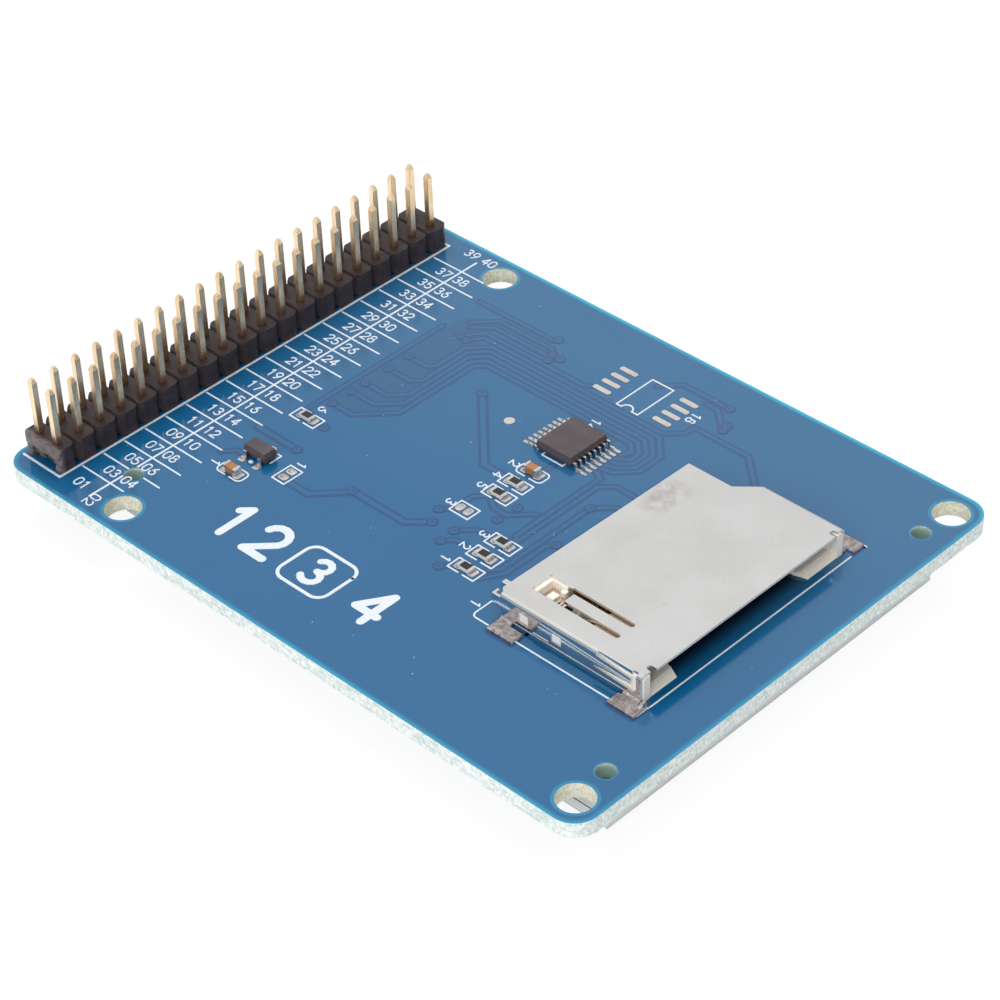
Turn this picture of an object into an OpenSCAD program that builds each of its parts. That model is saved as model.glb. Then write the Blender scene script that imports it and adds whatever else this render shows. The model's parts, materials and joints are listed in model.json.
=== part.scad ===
// Display module: a circuit board lying display side down, with its pin header,
// memory card socket and control parts facing up, and the display stack below.
// Millimetres, +Z up, origin under the middle of the part on the face it rests on.

/* [Board] */
// Length of the board, from the header edge to the card edge
board_l = 72.6; // [72:0.2:90]
// Width of the board, along the header rows
board_w = 54.7; // [54:0.1:64]
// Thickness of the board
board_t = 1.6; // [1:0.1:2.4]
// Radius of the board's corners
corner_r = 2.5; // [1:0.1:4]

/* [Mounting holes] */
// Diameter of the four mounting holes
mount_d = 3.5; // [3:0.1:3.8]
// Distance of the mounting holes from the long edges
mount_side = 2.85; // [2.4:0.05:3.3]
// Distance of the far pair from the card edge
mount_far = 2.75; // [2.4:0.05:4]
// Distance of the near pair from the header edge
mount_near = 13.85; // [12:0.05:18]
// Diameter of the three locating holes over the display's corners
locate_d = 1.85; // [1.2:0.05:2.2]

/* [Pin header] */
// Pins in each of the two rows
row_pins = 20; // [16:1:20]
// Distance between neighbouring pins
pin_pitch = 2.54; // [2.2:0.02:2.6]
// Side of a square pin
pin_w = 0.64; // [0.5:0.02:0.7]
// Length of a pin above the plastic
pin_above = 6; // [4:0.5:9]
// Length of a pin below the plastic
pin_below = 3; // [2.6:0.1:3.6]
// Height of the header's plastic
header_h = 2.54; // [2:0.1:3.5]
// Distance of the header's middle from the board's edge
header_inset = 3.28; // [3:0.02:4]
// Depth of the notch between two pin pairs
header_notch = 0.5; // [0.2:0.05:0.8]
// Diameter of the plated holes for the pins
pin_hole_d = 1; // [1:0.02:1.2]

/* [Card socket] */
// Length of the socket's shell along the card
shell_l = 16.4; // [16:0.1:20]
// Width of the shell across the card
shell_w = 26.5; // [26:0.1:28]
// Height of the shell above the board
shell_h = 2.8; // [2.7:0.05:3.4]
// Thickness of the shell's sheet
shell_t = 0.25; // [0.15:0.05:0.3]
// Distance from the shell's mouth to the board's edge
shell_gap = 6.2; // [5:0.1:9]
// Offset of the shell from the board's centre line
shell_offset = 0.6; // [-1:0.05:1]
// Length of a solder foot
foot_l = 2.95; // [2:0.05:3.2]
// Reach of a solder foot beyond the shell's wall
foot_reach = 1.9; // [1.2:0.1:2.4]
// Thickness of the plastic rail on each side of the card
rail_t = 0.8; // [0.6:0.05:1]
// Width of a card contact
contact_w = 0.8; // [0.5:0.05:1]

/* [Chips] */
// Length of the touch controller's body, along its rows of leads
chip_l = 5; // [5:0.1:6]
// Width of the touch controller's body
chip_w = 4.4; // [3.9:0.1:5]
// Height of the touch controller above the board
chip_h = 1.1; // [0.9:0.05:1.5]
// Length of the regulator's body
reg_l = 2.9; // [2.6:0.1:3.2]
// Width of the regulator's body
reg_w = 1.6; // [1.4:0.1:1.8]
// Height of the regulator above the board
reg_h = 1.2; // [1:0.05:1.4]

/* [Passives] */
// Length of a resistor or capacitor
passive_l = 1.6; // [1.4:0.05:2]
// Width of a resistor or capacitor
passive_w = 0.8; // [0.6:0.05:1]
// Height of a resistor
resistor_h = 0.45; // [0.35:0.05:0.6]
// Height of a capacitor
capacitor_h = 0.8; // [0.5:0.05:0.9]

/* [Display] */
// Length of the display's frame
panel_l = 60.3; // [58:0.1:61]
// Width of the display's frame
panel_w = 42.7; // [41:0.1:43.5]
// Distance of the frame from the header edge
panel_inset = 10; // [9.6:0.1:10.8]
// Wall of the frame beside the glass
frame_wall = 0.9; // [0.7:0.05:1.2]
// Distance by which the touch panel is shorter at its cable end
touch_short = 1.8; // [1:0.1:3]
// Length of the picture window
window_l = 51; // [48:0.5:52]
// Width of the picture window
window_w = 38; // [36:0.5:38.5]
// Thickness of the touch film
film_t = 0.2; // [0.1:0.05:0.3]
// Thickness of the touch panel's glass
touch_glass_t = 0.8; // [0.5:0.05:1.1]
// Thickness of each display glass
glass_t = 0.5; // [0.3:0.05:0.7]
// Thickness of the light guide
guide_t = 0.55; // [0.5:0.05:0.8]
// Thickness of the tape between display and board
rear_tape_t = 0.2; // [0.1:0.05:0.5]
// Width of the display's cable
cable_w = 30; // [20:0.5:32]

/* [Hidden] */
$fn = 32;

// Heights of the layers, from the face that the part rests on
spacer_t = 0.1;
front_tape_t = 0.15;
recess_t = 0.05;
polariser_t = 0.18;
rear_polariser_t = 0.15;
shading_t = 0.07;
ledge_t = 0.2;
prism_t = 0.12;
diffuser_t = 0.08;
reflector_t = 0.08;
cable_t = 0.12;
thin_cable_t = 0.1;

touch_glass_z = film_t + spacer_t;
front_tape_z = touch_glass_z + touch_glass_t;
frame_z = front_tape_z + front_tape_t;
polariser_z = frame_z + recess_t;
filter_z = polariser_z + polariser_t;
array_z = filter_z + glass_t;
shading_z = array_z + glass_t;
ledge_z = shading_z + shading_t;
upper_prism_z = ledge_z + ledge_t;
lower_prism_z = upper_prism_z + prism_t;
diffuser_z = lower_prism_z + prism_t;
guide_z = diffuser_z + diffuser_t;
reflector_z = guide_z + guide_t;
rear_tape_z = reflector_z + reflector_t;
board_z = rear_tape_z + rear_tape_t;
top_z = board_z + board_t;

// Places along the board, from the header edge, and across it, from the centre line
panel_end = panel_inset + panel_l;
locate_in = 0.78;
touch_controller_at = [37.95, 9.2];
regulator_at = [17.5, -10.95];
memory_pads_at = [37.8, 19.45];
flat_jumper_at = [37.1, -4.05];
test_pad_at = [30.9, 8.2];
side_jumper_at = [21.4, -11.2];
socket_resistor_x = board_l - shell_gap - shell_l - 6.9;
resistors_at = [
    [37.95, 1.7], [37.95, -0.45], [16.45, -4.05],
    for (y = [-5.3, -7.6, -9.9]) [socket_resistor_x, y]
];
capacitors_at = [[37.95, 3.95], [17.3, -14.3]];

// Moves children to a place on the board, at height z
module at(place, z) {
    translate([place[0] - board_l / 2, place[1], z]) children();
}

// Extrudes a profile drawn in X and Z along Y, over the span from y0 to y1
module along_y(y0, y1) {
    translate([0, y1, 0]) rotate([90, 0, 0]) linear_extrude(y1 - y0) children();
}

// Extrudes a profile drawn in Y and Z along X, over the span from x0 to x1
module along_x(x0, x1) {
    translate([x0, 0, 0]) rotate([90, 0, 90]) linear_extrude(x1 - x0) children();
}

// Rectangle with round corners, its low corner at the origin
module rounded_rect(l, w, r) {
    translate([r, 0]) square([l - 2 * r, w]);
    translate([0, r]) square([l, w - 2 * r]);
    for (x = [r, l - r], y = [r, w - r]) translate([x, y]) circle(r);
}

// ---------------------------------------------------------------- board

function mount_places() = [
    for (x = [mount_near, board_l - mount_far], side = [-1, 1])
        [x, side * (board_w / 2 - mount_side)]
];

function locate_places() = [
    [panel_inset + locate_in, -(panel_w / 2 - locate_in)],
    [panel_end - locate_in, -(panel_w / 2 - locate_in)],
    [panel_end - locate_in, panel_w / 2 - locate_in]
];

function pin_places() = [
    for (i = [0 : row_pins - 1], side = [-1, 1])
        [header_inset + side * pin_pitch / 2, (i - (row_pins - 1) / 2) * pin_pitch]
];

module circuit_board() {
    color([0.2, 0.42, 0.62])
        difference() {
            at([0, -board_w / 2], board_z)
                linear_extrude(board_t) rounded_rect(board_l, board_w, corner_r);
            for (p = mount_places()) at(p, board_z - 1) cylinder(d = mount_d, h = board_t + 2);
            for (p = locate_places()) at(p, board_z - 1) cylinder(d = locate_d, h = board_t + 2);
            for (p = pin_places()) at(p, board_z - 1) cylinder(d = pin_hole_d, h = board_t + 2);
        }
}

// Tinned pads that carry no part: the empty memory footprint, two jumpers and a test pad
pad_t = 0.05;
memory_pad = [2.1, 0.58];
memory_row = 7.55;
memory_pitch = 1.27;
jumper_pad = [0.75, 1];
jumper_pitch = 1;
test_pad_d = 1.05;

module pad(size) {
    translate([-size[0] / 2, -size[1] / 2, 0])
        linear_extrude(pad_t) rounded_rect(size[0], size[1], min(size) * 0.4);
}

module bare_pads() {
    color([0.72, 0.66, 0.64]) {
        for (side = [-1, 1], i = [0 : 3])
            at(memory_pads_at + [side * memory_row / 2, (i - 1.5) * memory_pitch], top_z)
                pad(memory_pad);
        at(test_pad_at, top_z) cylinder(d = test_pad_d, h = pad_t);
        for (side = [-1, 1]) {
            at(flat_jumper_at + [side * jumper_pitch / 2, 0], top_z) pad(jumper_pad);
            at(side_jumper_at + [0, side * jumper_pitch / 2], top_z)
                pad([jumper_pad[1], jumper_pad[0]]);
        }
    }
}

// ---------------------------------------------------------------- pin header

header_w = 2 * pin_pitch;
header_l = row_pins * pin_pitch;
notch_half = 0.62;
channel_h = 0.45;
// Half width and depth of the grooves between pin pairs, over and under the plastic
top_groove = [0.2, 0.28];
foot_groove = [0.35, 0.4];
foot_w = 0.9;
pin_tip = 0.34;
pin_taper = 0.45;
solder_h = 0.9;
solder_d = 1.7;

// One long side of the plastic: flats joined by shallow notches
function header_side(side, ys) = [
    for (y = ys, k = [0 : 2])
        k == 0 ? [side * (header_w / 2 - header_notch), y]
               : [side * header_w / 2, y + (k == 1 ? notch_half : pin_pitch - notch_half)]
];

function header_outline() =
    let (
        ys = [for (i = [0 : row_pins - 1]) i * pin_pitch],
        half = header_w / 2 - header_notch,
        right = header_side(1, ys),
        left = header_side(-1, ys)
    )
    concat(right, [[half, header_l], [-half, header_l]],
        [for (i = [len(left) - 1 : -1 : 0]) left[i]]);

// Grooves across the plastic where one pin pair can be snapped from the next
module snap_grooves() {
    for (i = [1 : row_pins - 1])
        translate([0, i * pin_pitch, 0])
            along_x(-header_w / 2 - 1, header_w / 2 + 1) {
                polygon([
                    [-top_groove[0], header_h + 1], [-top_groove[0], header_h],
                    [0, header_h - top_groove[1]],
                    [top_groove[0], header_h], [top_groove[0], header_h + 1]
                ]);
                polygon([
                    [-foot_groove[0], -1], [foot_groove[0], -1], [foot_groove[0], 0],
                    [0, foot_groove[1]], [-foot_groove[0], 0]
                ]);
            }
}

// The snapped end: a ragged face that leans in towards the foot of the plastic
break_steps = 6;
break_depths = [0.55, 0.8, 0.7, 0.9, 0.75, 0.5];
break_rim = 0.3;

module snapped_end() {
    step = header_w / break_steps;
    for (i = [0 : break_steps - 1])
        let (deep = break_depths[i], x = -header_w / 2 + i * step)
            along_x(x - (i == 0 ? 1 : 0), x + step + (i == break_steps - 1 ? 1 : 0))
                polygon([
                    [-1, -1], [deep * 0.7, -1], [deep * 0.7, 0.3], [deep, 0.55],
                    [deep * 0.8, 0.95], [deep * 0.95, 1.2], [break_rim, 1.45],
                    [break_rim, header_h + 1], [-1, header_h + 1]
                ]);
}

module header_body() {
    color([0.17, 0.15, 0.15])
        at([header_inset, -header_l / 2], top_z)
            difference() {
                linear_extrude(header_h) polygon(header_outline());
                along_y(-1, header_l + 1)
                    translate([-header_w / 2 + foot_w, -1])
                        square([header_w - 2 * foot_w, 1 + channel_h]);
                snap_grooves();
                snapped_end();
                for (i = [0 : row_pins - 1], side = [-1, 1])
                    translate([
                        side * pin_pitch / 2 - pin_w / 2, (i + 0.5) * pin_pitch - pin_w / 2, -1
                    ])
                        cube([pin_w, pin_w, header_h + 2]);
            }
}

// Side view of a square pin with a tapered tip at each end
module pin_profile() {
    low = -pin_below;
    high = header_h + pin_above;
    polygon([
        [-pin_tip / 2, low], [pin_tip / 2, low], [pin_w / 2, low + pin_taper],
        [pin_w / 2, high - pin_taper], [pin_tip / 2, high], [-pin_tip / 2, high],
        [-pin_w / 2, high - pin_taper], [-pin_w / 2, low + pin_taper]
    ]);
}

module header_pins() {
    color([0.83, 0.67, 0.36])
        for (p = pin_places())
            at(p, top_z)
                intersection() {
                    along_y(-pin_w / 2, pin_w / 2) pin_profile();
                    along_x(-pin_w / 2, pin_w / 2) pin_profile();
                }
}

// Solder that fills each plated hole and stands as a cone round the pin's tail
module header_solder() {
    color([0.75, 0.76, 0.78])
        for (p = pin_places())
            at(p, board_z)
                difference() {
                    union() {
                        cylinder(d = pin_hole_d, h = board_t);
                        translate([0, 0, -solder_h])
                            cylinder(d1 = pin_hole_d, d2 = solder_d, h = solder_h);
                    }
                    translate([-pin_w / 2, -pin_w / 2, -solder_h - 1])
                        cube([pin_w, pin_w, board_t + solder_h + 2]);
                }
}

// ---------------------------------------------------------------- card socket

// Socket frame: X from the shell's rear edge, Y from its near wall, Z from the board
bend_r = 0.4;
wall_foot = 0.45;
foot_bend = 0.35;
foot_lip = 0.15;
// Plan of the plate's cut corner at the rear
step_l = 5.05;
step_w = 2.1;
step_run = 2.1;
rear_skew = 0.42;
// Set-back of the walls behind the plate's front lip, and the notch beside the lip
lip_l = 0.2;
lip_notch = 0.3;
lip_y = [1.5, shell_w - 1.2];
// Long opening in the plate and the springy arm inside it
slot_x0 = 1.45;
slot_front = 5;
slot_x1 = shell_l - slot_front;
slot_y0 = 2.35;
slot_w = 2.45;
arm_gap = 0.6;
arm_drop = 1;
// Latch windows in the side walls
latch_size = [1.15, 1.1];
latch_z = 0.88;
latch_x = [2.1, 5.95];
far_latch_x = step_l + step_run + 1.2;
// Side spring near the mouth: its root, its free end and the end of its opening
spring_root_in = 5.4;
spring_tip_in = 1.35;
spring_end_in = 0.75;
spring_root = shell_l - spring_root_in;
spring_tip = shell_l - spring_tip_in;
spring_end = shell_l - spring_end_in;
// Raised beads on the wall, each as [x0, z0, x1, z1]
beads = [[4.7, 2.08, spring_tip, 1.62], [3.85, 0.58, 5.6, 0.58]];
bead_w = 0.16;
bead_h = 0.07;
// Rear tails of the contacts
tail_l = 1.3;
contact_t = 0.2;
contact_pitch = 2.5;
contact_y0 = 3.6;
contact_count = 9;
// Inside of the base
block_x0 = 0.3;
block_x1 = 3.6;
floor_x1 = 9.5;
floor_h = 0.42;
ledge_near = 4.9;
ledge_far = 4.3;
stop_gap = 0.05;

module at_socket() {
    at([board_l - shell_gap - shell_l, shell_offset - shell_w / 2], top_z) children();
}

// Arch profile of the shell: two walls and a plate joined by round bends
module arch(inset) {
    r = bend_r - inset;
    w = shell_w - 2 * inset;
    h = shell_h - inset;
    translate([inset, 0]) {
        translate([0, wall_foot - inset]) square([w, h - r - wall_foot + inset]);
        translate([r, wall_foot - inset]) square([w - 2 * r, h - wall_foot + inset]);
        for (y = [r, w - r]) translate([y, h - r]) circle(r);
    }
}

// Plan of the plate's opening: straight sides, a square rear and two round front ends
module plate_opening() {
    r = arm_gap / 2;
    difference() {
        translate([slot_x0, slot_y0]) square([slot_x1 - slot_x0 - r, slot_w]);
        translate([slot_x0 - 1, slot_y0 + arm_gap])
            square([shell_l, slot_w - 2 * arm_gap]);
    }
    translate([slot_x0, slot_y0]) square([3.3, slot_w]);
    for (y = [slot_y0 + r, slot_y0 + slot_w - r]) translate([slot_x1 - r, y]) circle(r);
}

// Side view of the arm, which dips into the card's way and turns up at its end
module arm_profile() {
    z1 = shell_h;
    z0 = shell_h - shell_t;
    x0 = slot_x0 + 3.3;
    polygon([
        [slot_x1, z1], [x0 + 4, z1], [x0 + 1.1, z1 - arm_drop], [x0 + 0.6, z1 - arm_drop],
        [x0 + 0.1, z1 - arm_drop + 0.4], [x0 - 0.1, z1 - arm_drop + 0.25],
        [x0 + 0.5, z0 - arm_drop], [x0 + 1.2, z0 - arm_drop], [x0 + 4.1, z0], [slot_x1, z0]
    ]);
}

// A solder foot: a neck that bends out of the wall and a wide flat pad
module shell_foot(x, neck_x, neck_l) {
    along_x(neck_x, neck_x + neck_l)
        translate([-foot_bend, shell_t + foot_bend])
            intersection() {
                difference() {
                    circle(foot_bend + shell_t);
                    circle(foot_bend);
                }
                translate([0, -2]) square([2, 2]);
            }
    translate([neck_x, 0, wall_foot])
        cube([neck_l, shell_t, shell_t + foot_bend - wall_foot + 0.1]);
    translate([neck_x, -foot_bend - foot_lip, 0]) cube([neck_l, foot_lip, shell_t]);
    translate([x, -foot_reach, 0])
        cube([foot_l, foot_reach - foot_bend - foot_lip / 2, shell_t]);
}

// Ears at the rear corner: one continues the wall, the other leaves the plate
ear_l = 1;
ear_h = 1.3;

module rear_ears() {
    low = shell_h - bend_r - ear_h;
    translate([-ear_l, 0, low]) cube([ear_l + 0.1, shell_t, ear_h]);
    translate([-ear_l, 0, low]) cube([shell_t, 0.75, ear_h]);
    translate([-ear_l, 1.25, shell_h - shell_t]) cube([ear_l, 0.55, shell_t]);
    translate([-ear_l, 1.25, shell_h - ear_h]) cube([shell_t, 0.55, ear_h]);
}

// Opening that leaves the side spring: it runs up through the bend into the plate
module spring_opening() {
    along_y(-1, 0.25)
        polygon([
            [spring_root, 0.93], [spring_tip + 0.25, 0.8], [spring_end, 1.1],
            [spring_end, shell_h + 1], [spring_root + 0.25, shell_h + 1],
            [spring_root + 0.15, 2.35], [spring_tip, 2.08], [spring_tip, 1.5],
            [spring_root, 1.2]
        ]);
    translate([spring_root, -1, 1.065]) rotate([-90, 0, 0]) cylinder(r = 0.135, h = 1.25);
    translate([spring_tip, 0, shell_h - 1]) cube([0.6, 0.4, 2]);
}

module latch_window(x, y) {
    translate([x, y - 1, latch_z]) cube([latch_size[0], 2, latch_size[1]]);
}

// A raised bead on the near wall, drawn in X and Z
module bead(b) {
    dx = b[2] - b[0];
    dz = b[3] - b[1];
    long = sqrt(dx * dx + dz * dz);
    translate([b[0], 0.05, b[1]])
        rotate([0, -atan2(dz, dx), 0])
            translate([0, -bead_h - 0.05, -bead_w / 2]) cube([long, bead_h + 0.05, bead_w]);
}

// Plan of what is cut away round the plate
module plate_trim() {
    step_y = shell_w - step_w;
    polygon([[-1, -1], [0, -1], [0, bend_r], [-rear_skew, 2 * bend_r], [0, step_y], [-1, step_y]]);
    polygon([
        [-1, step_y], [step_l, step_y], [step_l + step_run, shell_w - 0.3],
        [step_l + step_run, shell_w + 1], [-1, shell_w + 1]
    ]);
    // front: walls set back, and a rounded notch on each side of the lip
    for (side = [0, 1])
        translate([shell_l, lip_y[side]]) mirror([0, side]) {
            translate([-lip_l, -3]) square([1, 3]);
            translate([-lip_l - lip_notch, 0]) circle(lip_notch);
            translate([-lip_l - lip_notch, -lip_notch]) square([1, 2 * lip_notch]);
        }
}

module socket_shell() {
    color([0.8, 0.8, 0.79])
        at_socket() {
            difference() {
                union() {
                    along_x(-rear_skew, shell_l)
                        difference() {
                            arch(0);
                            arch(shell_t);
                        }
                    for (b = beads) bead(b);
                }
                translate([0, 0, shell_h - shell_t - 0.5])
                    linear_extrude(2) plate_opening();
                translate([0, 0, -1]) linear_extrude(shell_h + 2) plate_trim();
                spring_opening();
                for (x = latch_x) latch_window(x, 0);
                latch_window(far_latch_x, shell_w);
            }
            along_y(slot_y0 + arm_gap, slot_y0 + slot_w - arm_gap) arm_profile();
            shell_foot(0.1, 0.1, 1.3);
            shell_foot(shell_l - 2.35, shell_l - lip_l - 1.85, 1.85);
            translate([0, shell_w, 0]) mirror([0, 1, 0]) {
                shell_foot(shell_l - 2.35, shell_l - lip_l - 1.85, 1.85);
                shell_foot(step_l + step_run + 0.2, step_l + step_run + 0.2, 1.3);
            }
            rear_ears();
        }
}

// Corner of the plastic that clears the shell's inner bend
module rail(y0, y1, x0, x1, outer) {
    h = shell_h - shell_t;
    c = 0.2;
    along_x(x0, x1)
        polygon([
            [y0, 0], [y1, 0], [y1, h - (outer > 0 ? c : 0)], [y1 - (outer > 0 ? c : 0), h],
            [y0 + (outer < 0 ? c : 0), h], [y0, h - (outer < 0 ? c : 0)]
        ]);
}

// A floor ledge that carries one edge of the card, with a sloping lead-in
module ledge(w) {
    lead = 0.9;
    front = shell_l - 0.15;
    difference() {
        linear_extrude(floor_h)
            polygon([
                [block_x1, 0], [front, 0], [front, w - 0.45], [front - 1.4, w], [block_x1, w]
            ]);
        along_y(-1, w + 1)
            polygon([
                [front + 1, 0.12], [front, 0.12], [front - lead, floor_h],
                [front - lead, floor_h + 1], [front + 1, floor_h + 1]
            ]);
    }
}

module socket_base() {
    near = shell_t;
    far = shell_w - shell_t;
    front = shell_l - 0.1;
    color([0.93, 0.9, 0.86])
        at_socket()
            difference() {
                union() {
                    rail(near, near + rail_t, block_x0, front, -1);
                    rail(far - rail_t, far, step_l + step_run + 0.3, front, 1);
                    translate([0, near, 0]) ledge(ledge_near - near);
                    translate([0, far, 0]) mirror([0, 1, 0]) ledge(ledge_far + rail_t);
                    translate([block_x0, near + 0.2, 0])
                        cube([
                            block_x1 - block_x0, shell_w - step_w - near - 0.3,
                            shell_h - shell_t
                        ]);
                    translate([block_x1 - 0.1, near + 0.2, 0])
                        cube([floor_x1 - block_x1 + 0.1, shell_w - step_w - near - 0.4, floor_h]);
                    for (x = latch_x)
                        translate([x + stop_gap, 0.1, latch_z + stop_gap])
                            cube([latch_size[0] - 2 * stop_gap, 0.4,
                                latch_size[1] - 2 * stop_gap]);
                    translate([far_latch_x + stop_gap, shell_w - 0.5, latch_z + stop_gap])
                        cube([latch_size[0] - 2 * stop_gap, 0.4, latch_size[1] - 2 * stop_gap]);
                }
                // the far ledge stops short of the cut corner
                translate([block_x1 - 1, shell_w - step_w, -1])
                    linear_extrude(2)
                        polygon([
                            [0, 0], [step_l + 1 - block_x1, 0],
                            [step_l + step_run + 1 - block_x1, step_w - 0.3],
                            [step_l + step_run + 1 - block_x1, step_w + 1], [0, step_w + 1]
                        ]);
                // corner seen through the plate's opening
                translate([slot_x0 + 0.5, slot_y0 + 0.1, 1.1])
                    cube([block_x1, slot_w - 0.3, shell_h]);
                // channels for the card contacts
                for (i = [0 : contact_count - 1])
                    translate([0, contact_y0 + i * contact_pitch, -1]) {
                        translate([-1, -contact_w / 2, 0])
                            cube([block_x1 + 2, contact_w, 1 + contact_t]);
                        translate([block_x1, -contact_w / 2 - 0.25, 0])
                            cube([floor_x1 - block_x1 - 0.5, contact_w + 0.5, 3]);
                    }
                for (y = detect_y)
                    translate([-1, y, detect_z]) cube([block_x1 + 2, detect_t, detect_h]);
            }
}

// Side view of one card contact: flat tail, rising spring and a tip that turns down
contact_run = 3.2;
contact_rise = 1.05;
contact_nose = 0.4;
contact_tip = 0.8;
contact_dip = 0.45;

module contact_profile() {
    x0 = -tail_l;
    x1 = block_x1 + 0.3;
    top = x1 + contact_run;
    nose = top + contact_nose;
    tip = nose + contact_tip;
    low = contact_rise - contact_dip;
    polygon([
        [x0, 0], [x1, 0], [top, contact_rise], [nose, contact_rise], [tip, low],
        [tip + contact_t / 2, low + contact_t * 0.85],
        [nose + contact_t / 2, contact_rise + contact_t],
        [top - contact_t / 2, contact_rise + contact_t],
        [x1 - contact_t / 4, contact_t], [x0, contact_t]
    ]);
}

module socket_contacts() {
    color([0.86, 0.7, 0.4])
        at_socket()
            for (i = [0 : contact_count - 1])
                let (y = contact_y0 + i * contact_pitch)
                    along_y(y - contact_w / 2, y + contact_w / 2) contact_profile();
}

// Upright leaf springs that sense the card and its lock
detect_t = 0.2;
detect_h = 0.8;
detect_z = 1.2;
detect_y = [1.35, 5.3];
detect_l = 6.2;

module detect_contacts() {
    color([0.84, 0.72, 0.48])
        at_socket()
            for (y = detect_y)
                translate([0, y, 0]) {
                    translate([block_x0, 0, detect_z])
                        linear_extrude(detect_h)
                            polygon([
                                [0, 0], [block_x1 - block_x0, 0], [detect_l - 1, 0.35],
                                [detect_l, 0.1], [detect_l, 0.3], [detect_l - 1, 0.35 + detect_t],
                                [block_x1 - block_x0, detect_t], [0, detect_t]
                            ]);
                    translate([0, 0, 0])
                        cube([block_x0, detect_t, detect_z + detect_h]);
                    translate([-tail_l, 0, 0]) cube([tail_l, detect_t * 2, contact_t]);
                }
}

// ---------------------------------------------------------------- chips

chip_draft = 0.12;
chip_stand = 0.1;
lead_t = 0.15;
controller_lead_w = 0.22;
controller_pitch = 0.65;
controller_span = 6.4;
regulator_lead_w = 0.4;
regulator_pitch = 0.95;
regulator_span = 2.8;

// Section of a moulded body: widest at the parting line, drafted above and below
module drafted(w, h) {
    mid = (chip_stand + h) / 2;
    polygon([
        [-w / 2 + chip_draft, chip_stand], [w / 2 - chip_draft, chip_stand], [w / 2, mid],
        [w / 2 - chip_draft, h], [-w / 2 + chip_draft, h], [-w / 2, mid]
    ]);
}

module moulded_body(l, w, h) {
    intersection() {
        along_y(-l / 2, l / 2) drafted(w, h);
        along_x(-w / 2, w / 2) drafted(l, h);
    }
}

// Gull-wing lead pointing to +X: it starts inside the body and ends flat on the board
module lead(body, span, h, width) {
    mid = (chip_stand + h) / 2;
    foot = (span - body) / 2 * 0.55;
    root = body / 2 - 0.25;
    knee = span / 2 - foot;
    along_y(-width / 2, width / 2)
        polygon([
            [root, mid - lead_t / 2], [knee - lead_t * 0.9, mid - lead_t / 2],
            [knee - lead_t * 0.4, 0], [span / 2, 0], [span / 2, lead_t],
            [knee + lead_t * 0.5, lead_t], [knee, mid + lead_t / 2], [root, mid + lead_t / 2]
        ]);
}

module controller_leads() {
    for (turn = [0, 180], i = [0 : 7])
        rotate(turn) translate([0, (i - 3.5) * controller_pitch, 0])
            lead(chip_w, controller_span, chip_h, controller_lead_w);
}

module touch_controller_body() {
    color([0.22, 0.2, 0.2])
        at(touch_controller_at, top_z)
            difference() {
                moulded_body(chip_l, chip_w, chip_h);
                controller_leads();
                translate([-chip_w / 2 + 0.8, -chip_l / 2 + 0.8, chip_h - 0.05])
                    cylinder(d = 0.6, h = 1);
            }
}

module touch_controller_leads() {
    color([0.7, 0.7, 0.7]) at(touch_controller_at, top_z) controller_leads();
}

// Two leads on the near side, one in the middle of the far side
module reg_leads() {
    for (side = [-1, 1])
        translate([side * regulator_pitch, 0, 0]) rotate(-90)
            lead(reg_w, regulator_span, reg_h, regulator_lead_w);
    rotate(90) lead(reg_w, regulator_span, reg_h, regulator_lead_w);
}

module regulator_body() {
    color([0.22, 0.2, 0.2])
        at(regulator_at, top_z)
            difference() {
                moulded_body(reg_w, reg_l, reg_h);
                reg_leads();
            }
}

module regulator_leads() {
    color([0.7, 0.7, 0.7]) at(regulator_at, top_z) reg_leads();
}

// ---------------------------------------------------------------- passives

wrap_t = 0.04;
wrap_l = 0.3;

module block(l, w, z0, z1) {
    translate([-l / 2, -w / 2, z0]) cube([l, w, z1 - z0]);
}

// Metal caps on both ends of a ceramic block of the given height
module end_caps(h, width) {
    difference() {
        union()
            for (side = [-1, 1])
                translate([side * (passive_l - wrap_l) / 2, 0, 0]) block(wrap_l, width, 0, h);
        block(passive_l - 2 * wrap_t, passive_w, wrap_t, h - wrap_t);
    }
}

module resistor_ceramics() {
    color([0.93, 0.92, 0.88])
        for (p = resistors_at)
            at(p, top_z)
                block(passive_l - 2 * wrap_t, passive_w, wrap_t, resistor_h - wrap_t);
}

module resistor_coats() {
    color([0.08, 0.08, 0.08])
        for (p = resistors_at)
            at(p, top_z)
                block(passive_l - 2 * wrap_l, passive_w - 0.06,
                    resistor_h - wrap_t, resistor_h);
}

module resistor_terminals() {
    color([0.75, 0.75, 0.74])
        for (p = resistors_at) at(p, top_z) end_caps(resistor_h, passive_w);
}

module capacitor_ceramics() {
    color([0.68, 0.47, 0.3])
        for (p = capacitors_at)
            at(p, top_z)
                block(passive_l - 2 * wrap_t, passive_w, wrap_t, capacitor_h - wrap_t);
}

module capacitor_terminals() {
    color([0.75, 0.75, 0.74])
        for (p = capacitors_at)
            at(p, top_z) end_caps(capacitor_h, passive_w + 2 * wrap_t);
}

// ---------------------------------------------------------------- display

glass_gap = 0.1;
rear_wall = frame_wall + 0.4;
glass_l = panel_l - 2 * frame_wall - 2 * glass_gap;
glass_w = panel_w - 2 * frame_wall - 2 * glass_gap;
bond_l = 3.2;
filter_l = glass_l - bond_l;
pocket_l = panel_l - 2 * rear_wall;
pocket_w = panel_w - 2 * rear_wall;
window_x = panel_end - rear_wall - 0.9 - window_l;
led_size = [0.9, 3, 0.5];
led_count = 4;
led_pitch = 8;
guide_x = panel_inset + rear_wall + led_size[0] + 0.2;
tail_w = 4;
tail_y = cable_w / 2 + 2.5;
solder_x = 6.3;
solder_l = 1.4;
joint_t = 0.08;

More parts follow.
